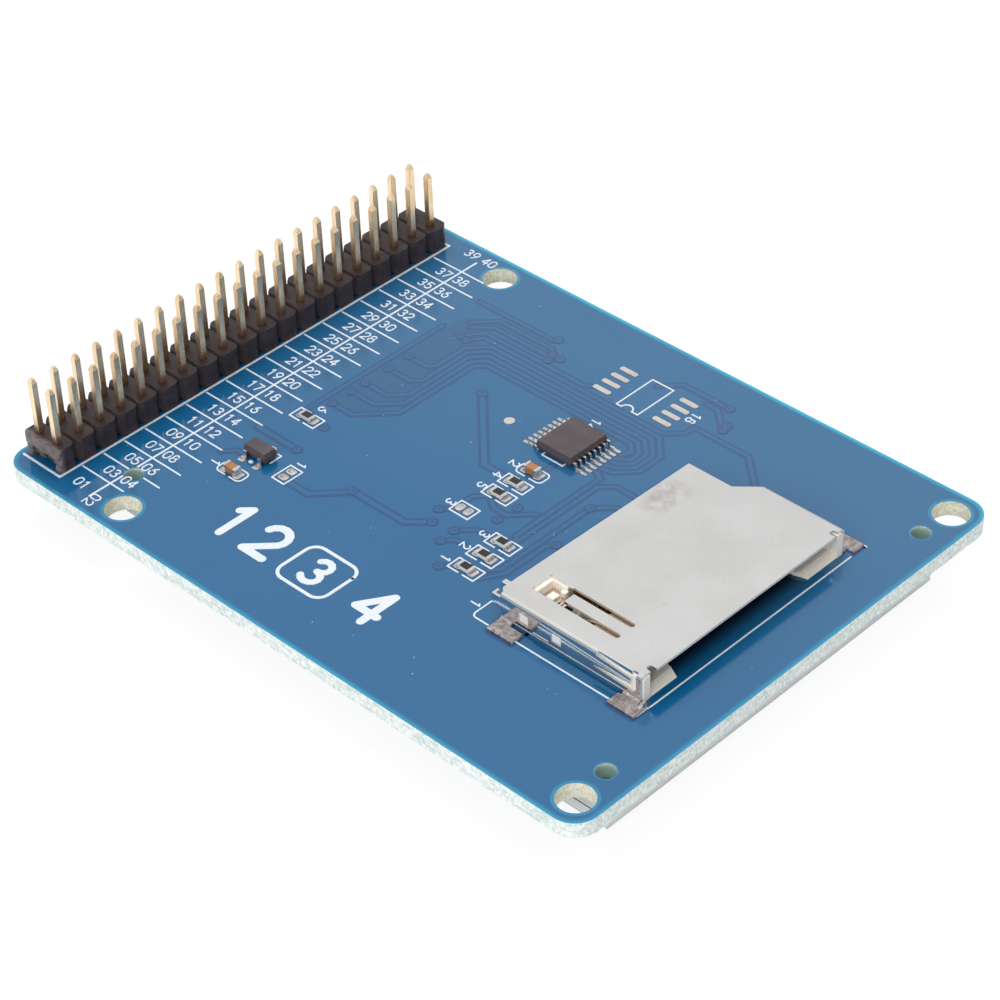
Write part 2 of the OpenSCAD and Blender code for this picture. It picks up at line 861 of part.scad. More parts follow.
// A flat layer centred on the board's centre line
module layer(x, z, l, w, t) {
    at([x, -w / 2], z) cube([l, w, t]);
}

module ring(x, z, l, w, t, inner_x, inner_l, inner_w) {
    difference() {
        layer(x, z, l, w, t);
        layer(inner_x, z - 1, inner_l, inner_w, t + 2);
    }
}

module display_frame() {
    color([0.94, 0.94, 0.92])
        difference() {
            layer(panel_inset, frame_z, panel_l, panel_w, rear_tape_z - frame_z);
            layer(panel_inset + frame_wall, frame_z - 1, panel_l - 2 * frame_wall,
                panel_w - 2 * frame_wall, ledge_z - frame_z + 1);
            layer(window_x, ledge_z - 1, window_l, window_w, ledge_t + 2);
            layer(panel_inset + rear_wall, upper_prism_z, pocket_l, pocket_w, 3);
            // gap for the display's cable, and a slot for the light strip's tail
            layer(panel_inset - 1, frame_z - 1, frame_wall + 2, cable_w + 0.6,
                array_z - frame_z + 1);
            at([panel_inset - 1, tail_y - tail_w / 2], guide_z - thin_cable_t)
                cube([rear_wall + 2, tail_w, thin_cable_t]);
        }
}

module front_polariser() {
    color([0.12, 0.13, 0.14])
        layer(panel_end - frame_wall - glass_gap - filter_l + 0.4, polariser_z,
            filter_l - 0.8, glass_w - 0.8, polariser_t);
}

module filter_glass() {
    color([0.7, 0.75, 0.75, 0.5])
        layer(panel_end - frame_wall - glass_gap - filter_l, filter_z, filter_l, glass_w, glass_t);
}

module array_glass() {
    color([0.7, 0.78, 0.76, 0.5])
        layer(panel_inset + frame_wall + glass_gap, array_z, glass_l, glass_w, glass_t);
}

module rear_polariser() {
    color([0.2, 0.2, 0.22])
        layer(window_x + 0.3, shading_z, window_l - 0.6, window_w - 0.6, rear_polariser_t);
}

module shading_tape() {
    color([0.05, 0.05, 0.05])
        ring(panel_inset + frame_wall + glass_gap, shading_z, glass_l, glass_w, shading_t,
            window_x, window_l, window_w);
}

driver_size = [1.2, 16, 0.4];
driver_in = 1.7;

module driver_chip() {
    color([0.3, 0.3, 0.32])
        layer(panel_inset + frame_wall + glass_gap + driver_in, array_z - driver_size[2],
            driver_size[0], driver_size[1], driver_size[2]);
}

module upper_prism_sheet() {
    color([0.85, 0.86, 0.88, 0.6])
        layer(guide_x, upper_prism_z, panel_end - rear_wall - guide_x, pocket_w, prism_t);
}

module lower_prism_sheet() {
    color([0.82, 0.84, 0.86, 0.6])
        layer(guide_x, lower_prism_z, panel_end - rear_wall - guide_x, pocket_w, prism_t);
}

module diffuser_sheet() {
    color([0.95, 0.95, 0.95])
        layer(guide_x, diffuser_z, panel_end - rear_wall - guide_x, pocket_w, diffuser_t);
}

module light_guide() {
    color([0.88, 0.93, 0.95, 0.5])
        layer(guide_x, guide_z, panel_end - rear_wall - guide_x, pocket_w, guide_t);
}

module reflector_sheet() {
    color([0.9, 0.91, 0.92])
        layer(panel_inset + rear_wall, reflector_z, pocket_l, pocket_w, reflector_t);
}

function led_places() = [
    for (i = [0 : led_count - 1])
        [panel_inset + rear_wall + 0.1, (i - (led_count - 1) / 2) * led_pitch - led_size[1] / 2]
];

module backlight_leds() {
    color([0.95, 0.9, 0.6])
        for (p = led_places()) at(p, guide_z) cube(led_size);
}

// Smooth rise between two heights, as [x, z] points, from x0 down to x1
function rise(x0, x1, z0, z1) = [
    for (i = [0 : 10])
        let (s = i / 10)
            [x0 + (x1 - x0) * s, z0 + (z1 - z0) * (1 - cos(180 * s)) / 2]
];

function lift(points, t) = [for (p = points) p + [0, t]];

function turned(points) = [for (i = [len(points) - 1 : -1 : 0]) points[i]];

// Flat cable that leaves at z0, rises and lies against the underside of the board
module rising_cable(start_x, rise_x, z0, t, y, w) {
    path = concat(
        [[start_x, z0]],
        rise(rise_x, solder_x + solder_l + 0.6, z0, board_z - t),
        [[solder_x, board_z - t]]
    );
    at([0, y], 0)
        along_y(-w / 2, w / 2) polygon(concat(path, turned(lift(path, t))));
}

module backlight_cable() {
    color([0.75, 0.5, 0.2]) {
        layer(panel_inset + rear_wall + 0.02, guide_z - thin_cable_t,
            led_size[0] + 0.16, 2 * tail_y + tail_w, thin_cable_t);
        rising_cable(panel_inset + rear_wall + 0.5, panel_inset - 0.2,
            guide_z - thin_cable_t, thin_cable_t, tail_y, tail_w);
    }
}

module display_cable() {
    color([0.8, 0.55, 0.2])
        rising_cable(panel_inset + frame_wall + glass_gap + 1.2, panel_inset - 0.2,
            array_z - cable_t, cable_t, 0, cable_w);
}

module touch_cable() {
    color([0.8, 0.55, 0.2])
        rising_cable(panel_inset + touch_short + 1, panel_inset - 0.2, film_t, spacer_t,
            -tail_y, tail_w);
}

touch_x = panel_inset + touch_short;
touch_l = panel_end - touch_x;
border = 1.6;

module touch_film() {
    color([0.75, 0.78, 0.78, 0.6]) layer(touch_x, 0, touch_l, panel_w, film_t);
}

// Spacer frame of the touch panel, notched where its cable comes out
module touch_spacer() {
    color([0.3, 0.3, 0.3])
        difference() {
            ring(touch_x, film_t, touch_l, panel_w, spacer_t,
                touch_x + border, touch_l - 2 * border, panel_w - 2 * border);
            at([touch_x - 1, -tail_y - tail_w / 2], film_t - 1)
                cube([2, tail_w, spacer_t + 2]);
        }
}

module touch_glass() {
    color([0.72, 0.8, 0.78, 0.5]) layer(touch_x, touch_glass_z, touch_l, panel_w, touch_glass_t);
}

module front_tape() {
    color([0.45, 0.3, 0.25])
        ring(touch_x, front_tape_z, touch_l, panel_w, front_tape_t,
            touch_x + border, touch_l - 2 * border, panel_w - 2 * border);
}

// Two strips of double-sided tape along the display's long sides
strip_w = 6;
strip_in = [3, 2];

module rear_tapes() {
    edge = panel_w / 2 - strip_in[1];
    color([0.9, 0.9, 0.88])
        for (y = [-edge, edge - strip_w])
            at([panel_inset + strip_in[0], y], rear_tape_z)
                cube([panel_l - 2 * strip_in[0], strip_w, rear_tape_t]);
}

module cable_solder() {
    color([0.75, 0.76, 0.78]) {
        solder_row(0, cable_w, 37, cable_t);
        solder_row(tail_y, tail_w, 4, thin_cable_t);
        solder_row(-tail_y, tail_w, 4, spacer_t);
    }
}

// A row of joints that lap over the end of a cable and meet the board beyond it
module solder_row(y, w, count, t) {
    pitch = w / count;
    for (i = [0 : count - 1])
        at([0, y - w / 2 + (i + 0.2) * pitch], 0)
            along_y(0, pitch * 0.6)
                polygon([
                    [solder_x - 0.5, board_z], [solder_x - 0.3, board_z - t - joint_t],
                    [solder_x + solder_l, board_z - t - joint_t],
                    [solder_x + solder_l, board_z - t], [solder_x, board_z - t],
                    [solder_x, board_z]
                ]);
}

circuit_board();
header_body();
header_pins();
header_solder();
bare_pads();
socket_shell();
socket_base();
socket_contacts();
detect_contacts();
touch_controller_body();
touch_controller_leads();
regulator_body();
regulator_leads();
resistor_ceramics();
resistor_coats();
resistor_terminals();
capacitor_ceramics();
capacitor_terminals();
display_frame();
front_polariser();
filter_glass();
array_glass();
rear_polariser();
shading_tape();
driver_chip();
upper_prism_sheet();
lower_prism_sheet();
diffuser_sheet();
light_guide();
reflector_sheet();
backlight_leds();
backlight_cable();
touch_film();
touch_spacer();
touch_glass();
front_tape();
rear_tapes();
display_cable();
touch_cable();
cable_solder();
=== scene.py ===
"""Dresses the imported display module: finishes, copper tracks, white print, solder joints,
rings round the holes, dust and a plain white studio. Lengths are in millimetres on the
board, x from the header edge, y from the centre line and z above the face with the parts."""
import itertools
import json
import math
import random

import bmesh
import bpy
from mathutils import Matrix, Vector

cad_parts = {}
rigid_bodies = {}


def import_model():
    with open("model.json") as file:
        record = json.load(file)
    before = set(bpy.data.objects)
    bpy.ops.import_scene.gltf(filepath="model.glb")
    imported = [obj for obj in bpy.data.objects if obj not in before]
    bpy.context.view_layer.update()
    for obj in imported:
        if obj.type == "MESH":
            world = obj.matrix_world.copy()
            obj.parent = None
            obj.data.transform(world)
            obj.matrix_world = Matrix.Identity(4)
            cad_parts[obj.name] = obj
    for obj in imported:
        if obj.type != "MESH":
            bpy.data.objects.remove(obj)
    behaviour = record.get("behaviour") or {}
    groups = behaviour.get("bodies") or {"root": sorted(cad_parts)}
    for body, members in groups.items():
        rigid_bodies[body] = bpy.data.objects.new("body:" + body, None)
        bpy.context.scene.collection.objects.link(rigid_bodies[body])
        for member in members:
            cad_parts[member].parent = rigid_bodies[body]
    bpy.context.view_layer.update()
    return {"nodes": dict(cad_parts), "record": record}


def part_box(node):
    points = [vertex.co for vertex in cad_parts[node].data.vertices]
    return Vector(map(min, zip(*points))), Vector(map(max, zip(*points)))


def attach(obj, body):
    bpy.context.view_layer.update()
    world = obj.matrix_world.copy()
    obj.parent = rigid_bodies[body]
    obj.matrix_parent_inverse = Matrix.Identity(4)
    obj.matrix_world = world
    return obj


for leftover in list(bpy.data.objects):
    bpy.data.objects.remove(leftover)
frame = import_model()

MM = 0.001
board_low, board_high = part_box("circuit_board")
PIN_PITCH = 2.54
ROWS = 20
LOCATE_IN = 0.78


def at(x, y, z=0.0):
    """The point of the part's frame that lies at this place on the board."""
    return Vector((board_low.x + x * MM, y * MM, board_high.z + z * MM))


def extent(node):
    """Lowest and highest x, then lowest and highest y, of a CAD node on the board."""
    low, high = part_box(node)
    return ((low.x - board_low.x) / MM, (high.x - board_low.x) / MM, low.y / MM, high.y / MM)


def middle(node):
    """The middle of a CAD node on the board."""
    x0, x1, y0, y1 = extent(node)
    return (x0 + x1) / 2, (y0 + y1) / 2


def mounting_holes():
    """Centres of the four mounting holes, from the record."""
    row = next(r for r in frame["record"]["mounts"] if r["name"] == "mount_holes")
    x = (row["pos_m"][0] - board_low.x) / MM
    y = row["pos_m"][1] / MM
    half_x = row["dims"]["spacing_x_mm"] / 2
    half_y = row["dims"]["spacing_y_mm"] / 2
    return [(x + i * half_x, y + j * half_y) for i in (-1, 1) for j in (-1, 1)]


def locating_holes():
    """Centres of the three small holes over the display frame's corners."""
    x0, x1, y0, y1 = extent("display_frame")
    near, far = x0 + LOCATE_IN, x1 - LOCATE_IN
    return [(near, y0 + LOCATE_IN), (far, y0 + LOCATE_IN), (far, y1 - LOCATE_IN)]


# ---- materials


def linear(r, g, b):
    """A colour seen as 0 to 255 on a screen, as the shader wants it."""
    def channel(v):
        v /= 255
        return v / 12.92 if v <= 0.04045 else ((v + 0.055) / 1.055) ** 2.4
    return (channel(r), channel(g), channel(b), 1)


class Nodes:
    """Helpers that add and join the nodes of one shader tree."""

    def __init__(self, tree):
        self.tree = tree

    def node(self, kind, **settings):
        made = self.tree.nodes.new(kind)
        for key, value in settings.items():
            setattr(made, key, value)
        return made

    def link(self, source, target):
        self.tree.links.new(source, target)

    def spread(self, source, low, high, out_low=0.0, out_high=1.0):
        made = self.node("ShaderNodeMapRange")
        made.inputs["From Min"].default_value = low
        made.inputs["From Max"].default_value = high
        made.inputs["To Min"].default_value = out_low
        made.inputs["To Max"].default_value = out_high
        self.link(source, made.inputs["Value"])
        return made.outputs["Result"]

    def math(self, operation, a, b):
        made = self.node("ShaderNodeMath", operation=operation)
        for socket, value in zip(made.inputs, (a, b)):
            if isinstance(value, (int, float)):
                socket.default_value = value
            else:
                self.link(value, socket)
        return made.outputs["Value"]

    def plus(self, a, b):
        return self.math("ADD", a, b)

    def minus(self, a, b):
        return self.math("SUBTRACT", a, b)

    def times(self, a, b):
        return self.math("MULTIPLY", a, b)

    def mix(self, factor, a, b):
        """The colour a where factor is 0 and b where it is 1."""
        made = self.node("ShaderNodeMix", data_type="RGBA")
        for socket, value in zip((made.inputs[0], made.inputs[6], made.inputs[7]), (factor, a, b)):
            if isinstance(value, (tuple, int, float)):
                socket.default_value = value
            else:
                self.link(value, socket)
        return made.outputs[2]

    def mix_shaders(self, factor, a, b):
        """The shader a where factor is 0 and b where it is 1."""
        made = self.node("ShaderNodeMixShader")
        for socket, source in zip(made.inputs, (factor, a, b)):
            self.link(source, socket)
        return made.outputs[0]


class Finish(Nodes):
    """A procedural material: helpers that add nodes round one Principled shader."""

    def __init__(self, name, roughness=0.4, metallic=0.0, **sockets):
        self.material = bpy.data.materials.new(name)
        self.material.use_nodes = True
        super().__init__(self.material.node_tree)
        self.shader = self.tree.nodes["Principled BSDF"]
        self.shader.inputs["Roughness"].default_value = roughness
        self.shader.inputs["Metallic"].default_value = metallic
        for socket, value in sockets.items():
            self.shader.inputs[socket.replace("_", " ")].default_value = value
        self.place = self.node("ShaderNodeTexCoord").outputs["Object"]

    def stretched(self, scale):
        """Object coordinates in millimetres, times one scale or one for each axis."""
        if isinstance(scale, (int, float)):
            scale = (scale,) * 3
        mapping = self.node("ShaderNodeMapping")
        mapping.inputs["Scale"].default_value = [s / MM for s in scale]
        self.link(self.place, mapping.inputs["Vector"])
        return mapping.outputs["Vector"]

    def noise(self, scale, detail=3.0, roughness=0.5, low=0.35, high=0.65):
        """Noise with features about a millimetre across at scale 1, spread to 0 to 1."""
        made = self.node("ShaderNodeTexNoise")
        made.inputs["Scale"].default_value = 1
        made.inputs["Detail"].default_value = detail
        made.inputs["Roughness"].default_value = roughness
        self.link(self.stretched(scale), made.inputs["Vector"])
        return self.spread(made.outputs["Fac"], low, high)

    def colour(self, source):
        if isinstance(source, tuple):
            self.shader.inputs["Base Color"].default_value = source
        else:
            self.link(source, self.shader.inputs["Base Color"])

    def rough(self, source, low, high):
        self.link(self.spread(source, 0, 1, low, high), self.shader.inputs["Roughness"])

    def bump(self, height, depth, strength=1.0):
        """Relief of this depth in millimetres where height goes from 0 to 1."""
        made = self.node("ShaderNodeBump")
        made.inputs["Strength"].default_value = strength
        made.inputs["Distance"].default_value = depth * MM
        self.link(height, made.inputs["Height"])
        self.link(made.outputs["Normal"], self.shader.inputs["Normal"])

    def part(self, axis):
        """The object coordinate along one axis, in metres."""
        made = self.node("ShaderNodeSeparateXYZ")
        self.link(self.place, made.inputs["Vector"])
        return made.outputs[axis]

    def level_faces(self):
        """1 on faces that look up or down, 0 on upright ones."""
        return self.spread(self.math("ABSOLUTE", self.looks("Z", "True Normal"), 0), 0.4, 0.6)

    def from_edge(self, x0, x1, y0, y1, radius):
        """Distance in metres from the outline of a rectangle on the board that has round
        corners, negative inside it."""
        centre = at((x0 + x1) / 2, (y0 + y1) / 2)
        away = []
        for axis, start, half in (("X", centre.x, (x1 - x0) / 2), ("Y", centre.y, (y1 - y0) / 2)):
            off = self.math("ABSOLUTE", self.minus(self.part(axis), start), 0)
            away.append(self.minus(off, (half - radius) * MM))
        corner = [self.math("MAXIMUM", side, 0) for side in away]
        squares = [self.times(side, side) for side in corner]
        reach = self.math("SQRT", self.plus(*squares), 0)
        inner = self.math("MINIMUM", self.math("MAXIMUM", away[0], away[1]), 0)
        return self.minus(self.plus(reach, inner), radius * MM)

    def from_disc(self, x, y, radius):
        """Distance in metres from a circle on the board, negative inside it."""
        return self.from_edge(x - radius, x + radius, y - radius, y + radius, radius)

    def looks(self, axis, output="Normal"):
        """How far a face looks along an axis, from -1 to 1."""
        made = self.node("ShaderNodeSeparateXYZ")
        self.link(self.node("ShaderNodeNewGeometry").outputs[output], made.inputs["Vector"])
        return made.outputs[axis]


MASK_BLUE = linear(18, 93, 139)
MASK_DEEP = linear(15, 89, 135)
MASK_GAP = linear(22, 69, 117)
MASK_EDGE = linear(16, 142, 180)
MASK_GLOSS = 0.1
CORNER_R = 2.5


def mask_tint(made, drift, grain, base, other):
    """Two shades of solder mask in a cloudy drift, under a faint pale painted sheen that
    grows towards the far long edge."""
    tint = made.mix(made.times(made.plus(drift, grain), 0.5), base, other)
    # Painted sheen: a faint pale tint that grows towards the far long edge of the board.
    painted_sheen = made.spread(made.part("Y"), -8 * MM, 20 * MM, 0, 0.05)
    return made.mix(painted_sheen, tint, (0.4, 0.5, 0.5, 1))


def mask_finish(name, base, other):
    """Glossy solder mask over copper or laminate."""
    made = Finish(name, roughness=MASK_GLOSS, IOR=1.6)
    drift = made.noise(0.12, detail=2)
    grain = made.noise(3, detail=4, low=0.3, high=0.7)
    made.colour(mask_tint(made, drift, grain, base, other))
    made.rough(grain, MASK_GLOSS * 0.9, MASK_GLOSS * 1.2)
    return made.material


def laminate_tint(made, edge, fibres):
    """Glass fibre laminate: pale layers at the outline, creamier in the bored holes, and
    laminate in painted shade, a dim green, down in the three locating holes, where the display
    frame beneath keeps the light out."""
    layers = made.noise((0.5, 0.5, 7), detail=3)
    cut = made.mix(layers, linear(176, 197, 194), linear(218, 229, 227))
    cut = made.mix(made.times(fibres, 0.8), cut, linear(248, 250, 248))
    bored = made.spread(edge, -0.8 * MM, -0.3 * MM, 0.75, 0)
    cut = made.mix(bored, cut, made.mix(fibres, linear(206, 204, 178), linear(238, 234, 214)))
    # Painted shade: the walls of the locating holes dim to green further down, lighter only near
    # the top.
    rim = made.spread(made.part("Z"), board_high.z - 0.35 * MM, board_high.z - 0.1 * MM, 1, 0.25)
    for x, y in locating_holes():
        depth = made.spread(made.from_disc(x, y, 1.3), -0.1 * MM, 0, 0.85, 0)
        cut = made.mix(made.times(depth, rim), cut, linear(128, 166, 160))
    return cut


def board_finish():
    """Mask on the two faces, paler where light comes through the bare laminate at the
    outline and darkened by painted shade beneath the card socket; fibrous laminate on the
    edges and in the holes."""
    made = Finish("board_finish", IOR=1.6)
    drift = made.noise(0.1, detail=2)
    grain = made.noise(3, detail=4, low=0.3, high=0.7)
    mask = mask_tint(made, drift, grain, MASK_BLUE, MASK_DEEP)
    edge = made.from_edge(*extent("circuit_board"), CORNER_R)
    glow = made.times(made.spread(edge, -0.55 * MM, -0.12 * MM),
                      made.spread(drift, 0, 1, 0.75, 1))
    lit = made.spread(made.part("Y"), board_high.y - 4 * MM, board_high.y)
    mask = made.mix(glow, mask, made.mix(lit, MASK_EDGE, linear(30, 172, 204)))
    # Painted shade: the mask turns near black under the card socket, where its shell keeps the
    # light out.
    socket_shade = made.from_edge(*extent("socket_base"), 0.5)
    mask = made.mix(made.spread(socket_shade, -1.4 * MM, -0.1 * MM, 0.86, 0), mask,
                    linear(20, 16, 18))
    fibres = made.noise((3.2, 3.2, 2.4), detail=5, roughness=0.7, low=0.42, high=0.6)
    flat = made.level_faces()
    made.colour(made.mix(flat, laminate_tint(made, edge, fibres), mask))
    made.link(made.spread(flat, 0, 1, 0.75, 0.1), made.shader.inputs["Roughness"])
    made.bump(made.mix(flat, fibres, (0.5, 0.5, 0.5, 1)), 0.02, 0.6)
    return made.material


def moulded_finish(name, base, worn, roughness, fineness=4, depth=0.006, **sockets):
    """Moulded plastic with a fine grain and paler rubbed patches."""
    made = Finish(name, roughness=roughness, **sockets)
    grain = made.noise(fineness, detail=5, roughness=0.65)
    patches = made.noise(0.6, detail=4, low=0.45, high=0.75)
    made.colour(made.mix(made.times(made.plus(grain, patches), 0.45), base, worn))
    made.rough(grain, roughness * 0.85, min(roughness * 1.2, 1))
    made.bump(grain, depth)
    return made.material


def metal_finish(name, bright, dull, roughness, fineness, depth):
    """Plain or plated metal: cloudy lustre and fine streaks."""
    made = Finish(name, roughness=roughness, metallic=1.0)
    cloud = made.noise(0.35, detail=4)
    streaks = made.noise(fineness, detail=4, roughness=0.6)
    made.colour(made.mix(made.times(made.plus(cloud, streaks), 0.5), bright, dull))
    made.rough(streaks, roughness * 0.8, roughness * 1.3)
    made.bump(streaks, depth)
    return made.material


STAINS = [(51.4, 7.7, 2.3), (51.7, 5.6, 1.9)]


def steel_tint(made, cloud, fine):
    """Grey sheet with brown specks, and a stain at each place given with its radius."""
    tint = made.mix(made.times(made.plus(cloud, fine), 0.5),
                    linear(235, 235, 235), linear(222, 221, 219))
    specks = made.noise(1.1, detail=6, roughness=0.75, low=0.62, high=0.8)
    tint = made.mix(made.times(specks, 0.35), tint, linear(150, 136, 122))
    for x, y, radius in STAINS:
        spot = made.spread(made.from_disc(x, y, radius), -radius * MM, 0, 0.6, 0)
        blot = made.noise(0.9, detail=6, roughness=0.65, low=0.4, high=0.66)
        tint = made.mix(made.times(spot, blot), tint, linear(158, 132, 112))
    return tint


def steel_finish():
    """Rolled sheet: satin and stained on the flat top, bright on the walls and bends,
    painted dark brown beneath as shade for the inside of the socket, and tinned with
    solder where its feet meet the board."""
    made = Finish("steel_finish", metallic=1.0)
    cloud = made.noise(0.2, detail=5)
    fine = made.noise(4, detail=5, roughness=0.7, low=0.3, high=0.7)
    tinned = made.noise(1.7, detail=5, roughness=0.65)
    foot = made.spread(made.part("Z"), board_high.z + 0.3 * MM, board_high.z + 0.5 * MM, 1, 0)
    tint = made.mix(foot, steel_tint(made, cloud, fine),
                    made.mix(tinned, linear(226, 218, 216), linear(160, 148, 147)))
    # Painted shade: faces that look down turn dark brown and less metallic, standing in for the
    # dark inside of the socket.
    below = made.spread(made.looks("Z"), -0.9, -0.6, 1, 0)
    made.colour(made.mix(below, tint, linear(84, 74, 70)))
    cut_edge = made.spread(made.looks("X"), 0.7, 0.9, 1, 0.3)
    bare = made.minus(cut_edge, made.times(below, 0.6))
    made.link(bare, made.shader.inputs["Metallic"])
    flat = made.spread(made.looks("Z"), 0.8, 0.99)
    satin = made.plus(made.spread(flat, 0, 1, 0.1, 0.36), made.times(cloud, 0.05))
    made.link(satin, made.shader.inputs["Roughness"])
    relief = made.times(flat, made.times(fine, 0.06))
    made.bump(made.plus(relief, made.times(foot, tinned)), 0.07)
    return made.material


def header_finish():
    """Dark moulded plastic, paler and rough at the end where the strip was snapped off."""
    made = Finish("header_finish", Specular_IOR_Level=0.42)
    grain = made.noise(3, detail=5, roughness=0.65)
    patches = made.noise(0.6, detail=4, low=0.45, high=0.75)
    body = made.mix(made.times(made.plus(grain, patches), 0.45),
                    linear(36, 29, 32), linear(72, 59, 61))
    torn_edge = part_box("header_body")[0].y
    near = made.spread(made.part("Y"), torn_edge + 0.25 * MM, torn_edge + 0.75 * MM, 1, 0)
    torn = made.times(near, made.noise(1.6, detail=5, low=0.2, high=0.55))
    made.colour(made.mix(torn, body, linear(118, 108, 108)))
    made.rough(made.math("MAXIMUM", grain, torn), 0.32, 0.5)
    made.bump(made.plus(made.times(grain, 0.15), torn), 0.1)
    return made.material


def pin_finish():
    """Thin gold over brass: pale on the shank, with a painted brown reflection of the dark
    header plastic that grows towards the root.
    """
    made = Finish("gold_finish", metallic=0.86)
    top_of_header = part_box("header_body")[1].z
    cloud = made.noise((0.8, 0.8, 0.25), detail=3)
    tint = made.mix(cloud, linear(254, 231, 196), linear(238, 209, 171))
    # Painted reflection: the brown at the root stands for the dark header plastic mirrored in the
    # gold.
    root = made.spread(made.part("Z"), top_of_header, top_of_header + 2.2 * MM, 1, 0)
    made.colour(made.mix(made.times(root, 0.75), tint, linear(150, 100, 66)))
    made.rough(cloud, 0.2, 0.28)
    return made.material


def layered_finish(name, colour, other, roughness):
    """A sheet or film: nearly even colour with faint long streaks."""
    made = Finish(name, roughness=roughness)
    streaks = made.noise((0.15, 2.5, 2.5), detail=3)
    made.colour(made.mix(streaks, colour, other))
    made.rough(streaks, roughness * 0.9, roughness * 1.15)
    made.bump(streaks, 0.002)
    return made.material


def glass_finish(name, tint, roughness=0.05):
    """Clear glass or acrylic under faint smears."""
    made = Finish(name, roughness=roughness, IOR=1.52, Transmission_Weight=0.6)
    smears = made.noise(0.3, detail=4)
    made.colour(made.mix(made.times(smears, 0.3), tint, linear(120, 140, 140)))
    made.rough(smears, roughness, roughness * 2.5)
    return made.material


def touch_film_finish():
    """Clear glossy film over the dark screen, with a grey silver border."""
    made = Finish("touch_film_finish", roughness=0.12, IOR=1.5)
    smears = made.noise(0.15, detail=4)
    x0, x1, y0, y1 = extent("touch_film")
    window = made.from_edge(x0 + 3.4, x1 - 3.4, y0 + 1.6, y1 - 1.6, 0.3)
    screen = made.mix(smears, linear(44, 47, 52), linear(52, 56, 60))
    border = made.mix(smears, linear(132, 128, 124), linear(142, 138, 132))
    face = made.mix(made.spread(window, 0, 0.1 * MM, 1, 0), border, screen)
    made.colour(made.mix(made.level_faces(), linear(226, 230, 230), face))
    made.rough(smears, 0.08, 0.2)
    return made.material


# Two colours and a roughness for each sheet, film or tape
LAYERS = {
    "polariser": (linear(34, 36, 40), linear(40, 43, 47), 0.1),
    "black_tape": (linear(26, 26, 27), linear(34, 34, 35), 0.5),
    "light_sheet": (linear(228, 230, 232), linear(214, 216, 220), 0.3),
    "cable_film": (linear(196, 128, 46), linear(178, 110, 38), 0.28),
    "brown_tape": (linear(110, 78, 62), linear(96, 68, 54), 0.5),
    "white_tape": (linear(232, 230, 222), linear(218, 214, 204), 0.6),
    "glass_edge": (linear(246, 250, 249), linear(238, 244, 242), 0.12),
    "spacer": (linear(250, 250, 248), linear(242, 242, 238), 0.6),
}
# Two colours, a roughness and the fineness of the grain, for what is moulded or printed
MOULDED = {
    "ceramic": (linear(232, 230, 224), linear(206, 202, 196), 0.4, 5),
    "coat": (linear(24, 22, 24), linear(40, 38, 40), 0.3, 5),
    "white_plastic": (linear(232, 232, 228), linear(220, 220, 214), 0.4, 2),
    "print": (linear(222, 229, 236), linear(202, 212, 222), 0.55, 6, 0.004),
    "dust": (linear(150, 180, 204), linear(176, 200, 218), 0.8, 8),
}
# Two colours, a roughness, then the fineness and the depth of the streaks
METALS = {
    "solder": (linear(236, 232, 229), linear(190, 184, 180), 0.24, 1.6, 0.012),
    "lead": (linear(238, 235, 232), linear(214, 209, 205), 0.2, 3, 0.006),
    "pad": (linear(244, 238, 232), linear(226, 218, 210), 0.45, 3, 0.004),
}
# Two shades of solder mask
MASKS = {
    "gap": (MASK_GAP, linear(24, 73, 121)),
    "track": (MASK_BLUE, MASK_DEEP),
    "zone": (linear(22, 82, 124), linear(20, 86, 127)),
    "border": (linear(18, 118, 158), linear(22, 128, 166)),
}


def all_finishes():
    """The material of each slot that the record names and of each piece added here."""
    made = {}
    for finish, table in ((layered_finish, LAYERS), (moulded_finish, MOULDED),
                          (metal_finish, METALS), (mask_finish, MASKS)):
        for slot, look in table.items():
            made[slot] = finish(slot + "_finish", *look)
    return made | {
        "board": board_finish(),
        "header_plastic": header_finish(),
        "gold": pin_finish(),
        "steel_sheet": steel_finish(),
        "touch_film": touch_film_finish(),
        "panel_glass": glass_finish("panel_glass_finish", linear(205, 218, 212)),
        "light_guide": glass_finish("light_guide_finish", linear(235, 240, 238), 0.1),
        "socket_plastic": moulded_finish(
            "socket_plastic_finish", linear(252, 246, 236), linear(240, 230, 216), 0.5, 3, 0.008,
            Subsurface_Weight=0.15, Subsurface_Scale=0.0006),
        "chip_plastic": moulded_finish(
            "chip_finish", linear(74, 66, 68), linear(104, 93, 96), 0.5, 9, 0.012,
            Specular_IOR_Level=0.35),
        "capacitor_ceramic": moulded_finish(
            "capacitor_finish", linear(176, 122, 74), linear(150, 98, 58), 0.38),
        # Painted shade: the warm brown of the blocks that stand for the shadowed mouldings inside
        # the card socket.
        "shade": moulded_finish(
            "recess_finish", linear(196, 168, 142), linear(214, 190, 166), 0.6),
    }


# ---- flat relief

CAP_STEPS = 6


def across(step):
    """The unit vector to the left of a step."""
    return Vector((-step.y, step.x)).normalized()


def stroke_sides(points, half):
    """Left and right edges of a line of the given half width, mitred at its bends."""
    left, right = [], []
    for i, point in enumerate(points):
        before = across(point - points[i - 1]) if i else None
        after = across(points[i + 1] - point) if i + 1 < len(points) else None
        if before is None or after is None:
            offset = (before or after) * half
        else:
            mitre = (before + after).normalized()
            offset = mitre * half / max(mitre.dot(before), 0.4)
        left.append(point + offset)
        right.append(point - offset)
    return left, right


def cap(centre, start):
    """Points of a half circle round a line's end, clockwise from its left edge."""
    arm = start - centre
    return [centre + Matrix.Rotation(-math.pi * k / CAP_STEPS, 2) @ arm
            for k in range(1, CAP_STEPS)]


